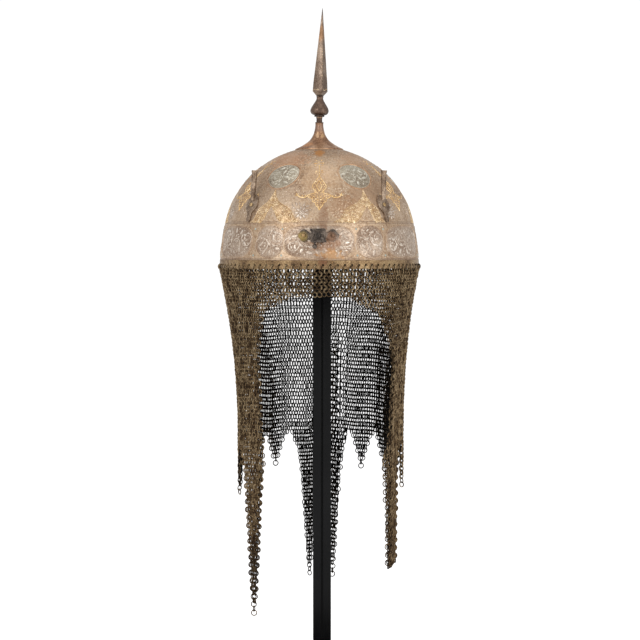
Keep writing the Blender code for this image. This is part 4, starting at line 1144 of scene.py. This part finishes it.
def is_field(azimuth, height):
    """True where the bowl is plain: away from the medallions, arches, arabesques and sprays."""
    radius = radius_at(height)
    length = length_at(height)

    def away(middle, low):
        across = math.radians((azimuth - middle + 180.0) % 360.0 - 180.0) * radius
        return across, length - length_at(low)

    x, y = away((math.floor(azimuth / SECTOR) + 0.5) * SECTOR, MEDALLION_HEIGHT)
    if math.hypot(x / (MEDALLION_HALF[0] + 0.0018), y / (MEDALLION_HALF[1] + 0.0018)) < 1.0:
        return False
    middle = round(azimuth / SECTOR) * SECTOR
    x, _ = away(middle, height)
    half = float(np.interp(height / MM, *np.array(LOZENGE_HALF).T, left=0.0, right=2.0)) * MM
    if abs(x) < half + 0.0018 or 0.0700 < height < 0.0770 and abs(x) < 0.0260:
        return False
    for side in (-1, 1):
        x, y = away(middle + side * SPRAY_TURN, SPRAY_HEIGHT)
        if math.hypot(x, y) < 0.0105:
            return False
    for apex, *shares in ARCH_APEXES:
        for share in shares:
            along = ((azimuth - apex + 180.0) % 360.0 - 180.0) / share
            outer = np.interp(along, *np.array(ARCH_OUTER).T) + 0.0016
            inner = np.interp(along, *np.array(ARCH_INNER).T) - 0.0012
            if -0.5 < along < 20.4 and inner < height < outer:
                return False
    return True


def make_field():
    """A rubbed carpet of small inlaid leaves between the raised ornaments."""
    local = random.Random(5)
    marks = []
    for number, length in enumerate(np.arange(0.0505, OUTLINE_LENGTH[-1] - 0.0300, FIELD_PITCH)):
        height = float(np.interp(length, OUTLINE_LENGTH, OUTLINE[:, 0]))
        radius = radius_at(height)
        around = round(2.0 * math.pi * radius / FIELD_PITCH)
        for k in range(around):
            azimuth = (k + 0.5 * (number % 2) + local.uniform(-0.3, 0.3)) * 360.0 / around - 180.0
            here = height + local.uniform(-0.3, 0.3) * FIELD_PITCH * 0.6
            if local.random() < 0.22 or not is_field(azimuth, here):
                continue
            turn = 150.0 * math.sin(math.radians(azimuth * 11.0)) + 130.0 * math.sin(length / 0.0052)
            size = local.uniform(0.95, 1.65) * MM
            leaf = LEAF_LEFT if (k + number) % 2 else LEAF_RIGHT
            marks.append(stamp((azimuth, here), 0.0, 0.0, size, turn, leaf, 0.00002, 0.3))
    show_stamped("field_leaves", marks, INLAY)


make_arabesques()
make_rosettes()
make_field()


# Mail

def drape(angle_deg, drop):
    """The curtain's middle face: the angle is from the back centre, + to +X, the drop from the rim."""
    share = drop / CURTAIN_DROP
    lower = smoothstep(0.12, 0.62, share)
    size = np.abs(angle_deg)
    pull = np.where(angle_deg > 0.0, RIGHT_PULL, LEFT_PULL) * lower
    edge = EDGE_DEG * (1.0 - EDGE_GATHER * lower) - pull
    inside = size * (1.0 - EDGE_GATHER * lower) - pull * smoothstep(60.0, EDGE_DEG, size)
    outside = edge + (180.0 - edge) * (size - EDGE_DEG) / (180.0 - EDGE_DEG)
    angle = np.radians(np.copysign(np.where(size <= EDGE_DEG, inside, outside), angle_deg))
    left = np.maximum(1.0 - share, 0.0) ** DRAW_IN_POWER
    top_radius = BOWL_RADIUS - BOWL_WALL / 2.0
    radius = CURTAIN_LOW_RADIUS + (top_radius - CURTAIN_LOW_RADIUS) * left
    radius = radius + FOLD_DEPTH * smoothstep(0.0, 1.0, share) * np.sin(FOLD_COUNT * angle)
    crease = np.exp(-((np.degrees(angle) - CREASE_TURN) / CREASE_WIDTH) ** 2) * smoothstep(0.25, 0.6, share)
    radius = radius - CREASE_DEPTH * crease
    sag = sum(size * np.sin(waves * angle + start) for size, waves, start in SAG_WAVES)
    sag = smoothstep(0.0, 0.5, share) * sag
    return np.stack([HELMET_X + radius * np.sin(angle), radius * np.cos(angle), RIM_Z - drop + sag], -1)


def column_angle(column):
    """Where a column hangs at the rim, in degrees; the columns of the brow are spread wider."""
    angle = abs(column) * COLUMN_DEG
    if angle > EDGE_DEG:
        angle = EDGE_DEG + (angle - EDGE_DEG) * BROW_SPREAD
    return math.copysign(angle, column)


def mail_sites():
    """Every ring as (row, drop, angle at the rim in degrees)."""
    sites = [(0, FIRST_DROP, (i + 0.5) * 360.0 / RIM_HOLES - 180.0) for i in range(RIM_HOLES)]
    drop, row = FIRST_DROP + ROW_PITCH, 1
    while drop < CURTAIN_DROP - 0.4 * POINT_PITCH:
        opening = 0.0 if drop <= BROW_DROP else min(180.0 - EDGE_DEG, 16.0 + 1150.0 * (drop - BROW_DROP))
        for number in range(-RIM_HOLES - 4, RIM_HOLES + 4):
            angle = column_angle(number + 0.5 * (row % 2))
            if -180.0 + opening < angle <= 180.0 - opening:
                sites.append((row, drop, angle))
        drop += ROW_PITCH + ROW_GROWTH * float(smoothstep(0.0, ROWS_OF_GROWTH, row))
        row += 1
    for start, end, left, right in POINTS:
        for side, (share, *form) in ((-1, left), (1, right)):
            sites += point_sites(start, end, side, share * LONG_POINT, form, row, drop)
    return sites


def point_sites(start, end, side, length, form, row, drop):
    """The rings of one hanging point: its columns end one by one and draw together towards the tip."""
    tip_share, gather, crowd, wide, forward = form
    tip, half = (start + end) / 2.0, (end - start) / 2.0
    sites = []
    while drop < CURTAIN_DROP + length:
        down = max(drop - CURTAIN_DROP, 0.0) / length
        closed = wide / crowd * (1.0 - gather * float(smoothstep(0.0, 0.35, down)))
        count = half * crowd * (1.0 - (1.0 - tip_share) * down) / COLUMN_DEG
        middle = tip + forward * float(smoothstep(0.0, 0.2, down))
        shift = (0.5 * (row % 2) - tip / COLUMN_DEG) % 1.0
        columns = [n + shift for n in range(-20, 20) if abs(n + shift) <= count]
        for column in columns or [0.0]:
            sites.append((row, drop, side * (middle + column * COLUMN_DEG * closed)))
        drop += POINT_PITCH
        row += 1
    if tip_share < 0.3:
        # The last loose ring hangs with its face to the front.
        loose, odd = 0, (side > 0) == (tip < 90.0)
        while loose < 2 or (row - 1) % 2 != odd:
            sites.append((row, drop, side * middle + chance.uniform(-0.3, 0.3)))
            drop += POINT_PITCH + 0.3 * MM
            row += 1
            loose += 1
    return sites


def make_mail():
    """Each ring lies nearly in the curtain, turned to one side or the other by rows."""
    ring = ring_shape(RING_RADIUS, RING_WIRE, RING_AROUND, RING_SIDES)
    centre_line = ring[0] * [1.0, 0.0, 1.0]
    centre_line *= RING_RADIUS / np.linalg.norm(centre_line, axis=1, keepdims=True)
    facing = (ring[0] - centre_line) / RING_WIRE
    sectors = {}
    for row, drop, angle in mail_sites():
        here = drape(np.array(angle), np.array(drop))
        along = drape(np.array(angle + 0.5), np.array(drop)) - drape(np.array(angle - 0.5), np.array(drop))
        up = drape(np.array(angle), np.array(drop - MM)) - drape(np.array(angle), np.array(drop + MM))
        pitch = np.linalg.norm(along) * COLUMN_DEG
        if drop > CURTAIN_DROP + 0.03 and abs(angle) % EDGE_DEG < 24.5 or abs(angle) > 120.5:
            pitch *= 0.8
        along /= np.linalg.norm(along)
        up /= np.linalg.norm(up)
        out = np.cross(up, along)
        out /= np.linalg.norm(out)
        if drop < FIRST_DROP + 0.1 * MM:
            turn = FIRST_TURN
        else:
            turn = BACK_TURN + (RING_TURN - BACK_TURN) * float(smoothstep(20.0, 70.0, abs(angle)))
            turn = max(turn, math.degrees(math.asin(min(CLOSEST / pitch, 0.8))))
            turn = turn if row % 2 else -turn
        turn = math.radians(turn + chance.uniform(-RING_SWAY, RING_SWAY))
        tip = math.radians(chance.uniform(-RING_TILT, RING_TILT))
        first = along * math.cos(turn) + out * math.sin(turn)
        second = np.cross(up, first)
        third = up * math.cos(tip) + second * math.sin(tip)
        axes = np.stack([first, np.cross(third, first), third])
        jitter = np.array([chance.uniform(-RING_JITTER, RING_JITTER) for _ in range(3)])
        # Painted shade: the sides of each ring's wire that face in, away from the curtain's outside, get low
        # values that darken them near black.
        wear_and_shade = 0.5 + 0.5 * (facing @ axes @ out)
        sector = min(int((angle + 180.0) / 45.0), 7)
        lower = float(smoothstep(CURTAIN_DROP - 0.02, CURTAIN_DROP + 0.15, drop))
        shade = chance.random() * (1.0 - 0.7 * lower)
        sectors.setdefault(sector, []).append((0, here + jitter, axes, np.clip(wear_and_shade, 0.0, 1.0), shade))
    for sector in sorted(sectors):
        name = "mail_" + "abcdefgh"[sector]
        show(name, joined(name, [ring], sectors[sector]), [MAIL_IRON], replaces=["mail_curtain"])


make_mail()


# Finial

FINIAL_FOOT = 0.127
TRUMPET_HEIGHT = 0.0305
TRUMPET_LINE = ((0.0252, 0.1240), (0.0189, 0.1270), (0.0140, 0.13005), (0.0102, 0.1331), (0.0077, 0.13646),
                (0.0061, 0.13951), (0.0052, 0.14256), (0.00454, 0.14561), (0.00416, 0.14896),
                (0.00416, 0.1510))
TRUMPET_FOOT = ((0.0, 0.1195), (0.0040, 0.1195), (0.0040, 0.1268), (0.0120, 0.1262), (0.0252, 0.1231))
TRUMPET_NECK = ((0.0046, 0.1513), (0.0044, 0.1519), (0.0031, 0.1523), (0.0030, 0.1550), (0.0034, 0.1575),
                (0.0, 0.1575))
FINIAL_LEAN = math.radians(1.7)
BULB_RADIUS = 0.0096
BULB_HEIGHT = 0.0205
BULB_LINE = ((0.0, 0.54), (0.08, 0.55), (0.10, 0.74), (0.18, 0.93), (0.31, 1.0), (0.47, 0.89), (0.62, 0.70),
             (0.77, 0.50), (0.90, 0.37), (1.0, 0.36))
BULB_COLLAR = ((0.0038, 0.0), (0.0041, 0.0002), (0.0041, 0.0005), (0.0, 0.0005))
BULB_GAP = 0.0003
SPIKE_GAP = 0.0006
SPIKE_LENGTH = 0.092
SPIKE_CORNER = 0.00827
SPIKE_BEVEL = 0.0052
SPIKE_FOOT = 0.0034
SPIKE_LOW = 0.0142
SPIKE_HIGH = 0.091
SPIKE_DOT_PITCH = 0.0017
SPIKE_GILT_CORNER = 0
SPIKE_TURN = math.radians(16.0)
NECK = Vector((HELMET_X, 0.0, RIM_Z + FINIAL_FOOT + TRUMPET_HEIGHT))


# Edges that turn by more degrees than this are rounded.
SHARP_ANGLE = 28.0


def refined(node, name, finish, bevel, body="helmet"):
    """A copy of a CAD node with its doubles merged and its edges rounded."""
    bm = bmesh.new()
    bm.from_mesh(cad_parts[node].data)
    bmesh.ops.remove_doubles(bm, verts=bm.verts, dist=0.00001)
    bmesh.ops.dissolve_limit(bm, angle_limit=math.radians(1.0), verts=bm.verts, edges=bm.edges)
    sharp = [edge for edge in bm.edges
             if len(edge.link_faces) == 2 and edge.calc_face_angle(0.0) > math.radians(SHARP_ANGLE)]
    bmesh.ops.bevel(bm, geom=sharp, offset=bevel, offset_type="OFFSET", segments=2, profile=0.5,
                    affect="EDGES", clamp_overlap=True, material=-1)
    show(name, mesh_of(name, bm), [finish], body, [node], sharp=38)


def make_finial():
    """The flared socket, the bulb on it and the four-sided spike."""
    bm = spun(list(TRUMPET_FOOT) + [tuple(p) for p in smooth_line(TRUMPET_LINE, 5)] + list(TRUMPET_NECK),
              56, False)
    bmesh.ops.translate(bm, verts=bm.verts, vec=(HELMET_X, 0.0, RIM_Z))
    show("flared_socket", mesh_of("flared_socket", bm), [TRUMPET_STEEL], replaces=["finial_trumpet"],
         sharp=40)
    lean = Matrix.Translation(NECK) @ Matrix.Rotation(FINIAL_LEAN, 4, "Y")
    outline = [(BULB_RADIUS * r, BULB_HEIGHT * h) for h, r in BULB_LINE]
    onion = smooth_line(outline[2:], 6)
    collar = [(radius, BULB_HEIGHT + rise) for radius, rise in BULB_COLLAR]
    profile = [(0.0, 0.0)] + outline[:2] + [tuple(point) for point in onion[:-1]] + collar
    bm = spun(profile, 48, False)
    bmesh.ops.transform(bm, matrix=lean @ Matrix.Translation((0.0, 0.0, BULB_GAP)), verts=bm.verts)
    show("bulb_knop", mesh_of("bulb_knop", bm), [BULB_STEEL], replaces=["finial_bulb"], sharp=40)
    c = SPIKE_CORNER
    levels = ((SPIKE_FOOT, 0.0), (c, SPIKE_BEVEL), (0.93 * c, SPIKE_LOW), (0.05 * c, SPIKE_HIGH))
    bm = bmesh.new()
    ring = bmesh.ops.create_circle(bm, cap_ends=True, segments=4, radius=levels[0][0])["verts"]
    face = bm.faces[:]
    for radius, height in levels[1:]:
        grown = bmesh.ops.extrude_face_region(bm, geom=face)
        verts = [item for item in grown["geom"] if isinstance(item, bmesh.types.BMVert)]
        before = max(v.co.xy.length for v in verts)
        bmesh.ops.scale(bm, vec=(radius / before, radius / before, 1.0), verts=verts)
        for vertex in verts:
            vertex.co.z = height
        face = [item for item in grown["geom"] if isinstance(item, bmesh.types.BMFace)]
    tip = bmesh.ops.poke(bm, faces=face)["verts"][0]
    tip.co.z = SPIKE_LENGTH
    bmesh.ops.recalc_face_normals(bm, faces=bm.faces)
    arrises = [edge for edge in bm.edges if abs(edge.verts[0].co.z - edge.verts[1].co.z) > 0.002
               or (edge.calc_face_angle(0.0) > 0.3 and edge.verts[0].co.xy.length > 0.006)]
    bmesh.ops.bevel(bm, geom=arrises, offset=0.0005, offset_type="OFFSET", segments=2, profile=0.5,
                    affect="EDGES", clamp_overlap=True, material=-1)
    top = BULB_HEIGHT + BULB_GAP + SPIKE_GAP
    place = lean @ Matrix.Translation((0.0, 0.0, top)) @ Matrix.Rotation(SPIKE_TURN, 4, "Z")
    bmesh.ops.transform(bm, matrix=place, verts=bm.verts)
    show("spike_blade", mesh_of("spike_blade", bm), [SPIKE_STEEL], replaces=["finial_spike"], sharp=34)
    make_spike_dots(place)


def make_spike_dots(place):
    """The rubbed gold dots that are left along the spike's arrises and round its foot."""
    dots = []

    def add_dot(origin, out, largest):
        axes = np.stack([[-out[1], out[0], 0.0], [0.0, 0.0, 1.0], out])
        dots.append((0, origin, axes * chance.uniform(0.3, largest) * MM, 1.0, chance.random()))

    corners = [np.array([x, y, 0.0]) for x, y in ((1.0, 0.0), (0.0, 1.0), (-1.0, 0.0), (0.0, -1.0))]
    for number, out in enumerate(corners):
        for height in np.arange(0.016, 0.062 if number == SPIKE_GILT_CORNER else 0.050, SPIKE_DOT_PITCH):
            if chance.random() < 0.3:
                continue
            far = np.interp(height, (SPIKE_LOW, SPIKE_HIGH), (0.93 * SPIKE_CORNER, 0.05 * SPIKE_CORNER))
            add_dot(out * (far - 0.00042) + [0.0, 0.0, height], out, 0.48)
    for a, b in zip(corners, corners[1:] + corners[:1]):
        for share in np.arange(0.08, 0.95, 0.09):
            if chance.random() < 0.45:
                continue
            height = SPIKE_BEVEL + 0.0012 + chance.uniform(-0.0004, 0.0012)
            origin = (a * (1.0 - share) + b * share) * SPIKE_CORNER * 0.995 + [0.0, 0.0, height]
            add_dot(origin, (a + b) / math.sqrt(2.0), 0.45)
    mesh = joined("spike_gold_dots", [dot_shape()], dots)
    mesh.transform(place)
    show("spike_gold_dots", mesh, [PALE_GOLD])


make_finial()
for side in ("left", "right"):
    refined("plume_holder_" + side, "plume_tube_" + side, OLIVE_IRON, 0.0003)
refined("nasal_bracket", "nasal_staple", DARK_IRON, 0.0004)
refined("nasal_screw", "wing_screw", SCREW_IRON, 0.0004, "screw")
refined("stand_post", "post_square", BLACK_PAINT, 0.0006)
refined("stand_foot", "foot_plate", BLACK_PAINT, 0.0010)

CARRIED = {
    "finial_nut": DARK_IRON, "plume_rivet_left": RIVET_BRASS, "plume_rivet_right": RIVET_BRASS,
    "nasal_rivet_left": RIVET_BRASS, "nasal_rivet_right": DARK_IRON, "stand_head": BLACK_PAINT,
}
for node, finish in CARRIED.items():
    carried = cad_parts[node].data
    carried.materials.clear()
    carried.materials.append(finish)


# Floor, light and camera

def make_studio():
    """A pale floor, three soft lights, a white world and the photograph's camera."""
    floor_finish, bench, shader, place = new_finish("pale_floor")
    clouds = bench.add("ShaderNodeTexNoise", {"Vector": place, "Scale": 3.0, "Detail": 2.0}).outputs[0]
    tint = bench.ramp(clouds, (0.3, colour(250, 250, 250)), (0.7, colour(255, 255, 255)))
    bench.tree.links.new(tint, shader.inputs["Base Color"])
    shader.inputs["Roughness"].default_value = 0.9
    shader.inputs["Emission Color"].default_value = (1.0, 1.0, 1.0, 1.0)
    shader.inputs["Emission Strength"].default_value = 0.35
    bm = bmesh.new()
    bmesh.ops.create_circle(bm, cap_ends=True, segments=64, radius=6.0)
    mesh = mesh_of("studio_floor", bm)
    mesh.materials.append(floor_finish)
    floor = placed("studio_floor", mesh)

    for name, place, size, power, shape in (
        ("key_light", (-1.1, -1.5, 1.25), 1.1, 15.0, "SQUARE"),
        ("fill_light", (1.3, -1.3, 0.9), 1.3, 12.0, "SQUARE"),
        ("top_light", (0.0, -0.2, 2.1), 1.4, 7.0, "SQUARE"),
    ):
        light = bpy.data.lights.new(name, "AREA")
        light.shape, light.size, light.energy = shape, size, power
        lamp = placed(name, light)
        lamp.location = place
        aim = Vector((0.0, 0.0, 0.42)) - Vector(place)
        lamp.rotation_euler = aim.to_track_quat("-Z", "Y").to_euler()

    world = bpy.data.worlds.new("white_studio")
    world.use_nodes = True
    tree = world.node_tree
    backdrop = tree.nodes["Background"]
    backdrop.inputs["Color"].default_value = (1.0, 1.0, 1.0, 1.0)
    seen = tree.nodes.new("ShaderNodeLightPath")
    strength = tree.nodes.new("ShaderNodeMapRange")
    tree.links.new(seen.outputs["Is Camera Ray"], strength.inputs["Value"])
    strength.inputs["To Min"].default_value = 0.75
    strength.inputs["To Max"].default_value = 1.05
    tree.links.new(strength.outputs[0], backdrop.inputs["Strength"])
    bpy.context.scene.world = world
    bpy.context.scene.view_settings.view_transform = "Standard"

    camera = bpy.data.cameras.new("photo_camera")
    camera.lens, camera.sensor_width = CAMERA_LENS, 36.0
    camera.clip_start, camera.clip_end = 0.05, 50.0
    stand = placed("photo_camera", camera)
    stand.location = CAMERA_PLACE
    aim = Vector(CAMERA_AIM) - Vector(CAMERA_PLACE)
    stand.rotation_euler = aim.to_track_quat("-Z", "Y").to_euler()
    bpy.context.scene.camera = stand


make_studio()
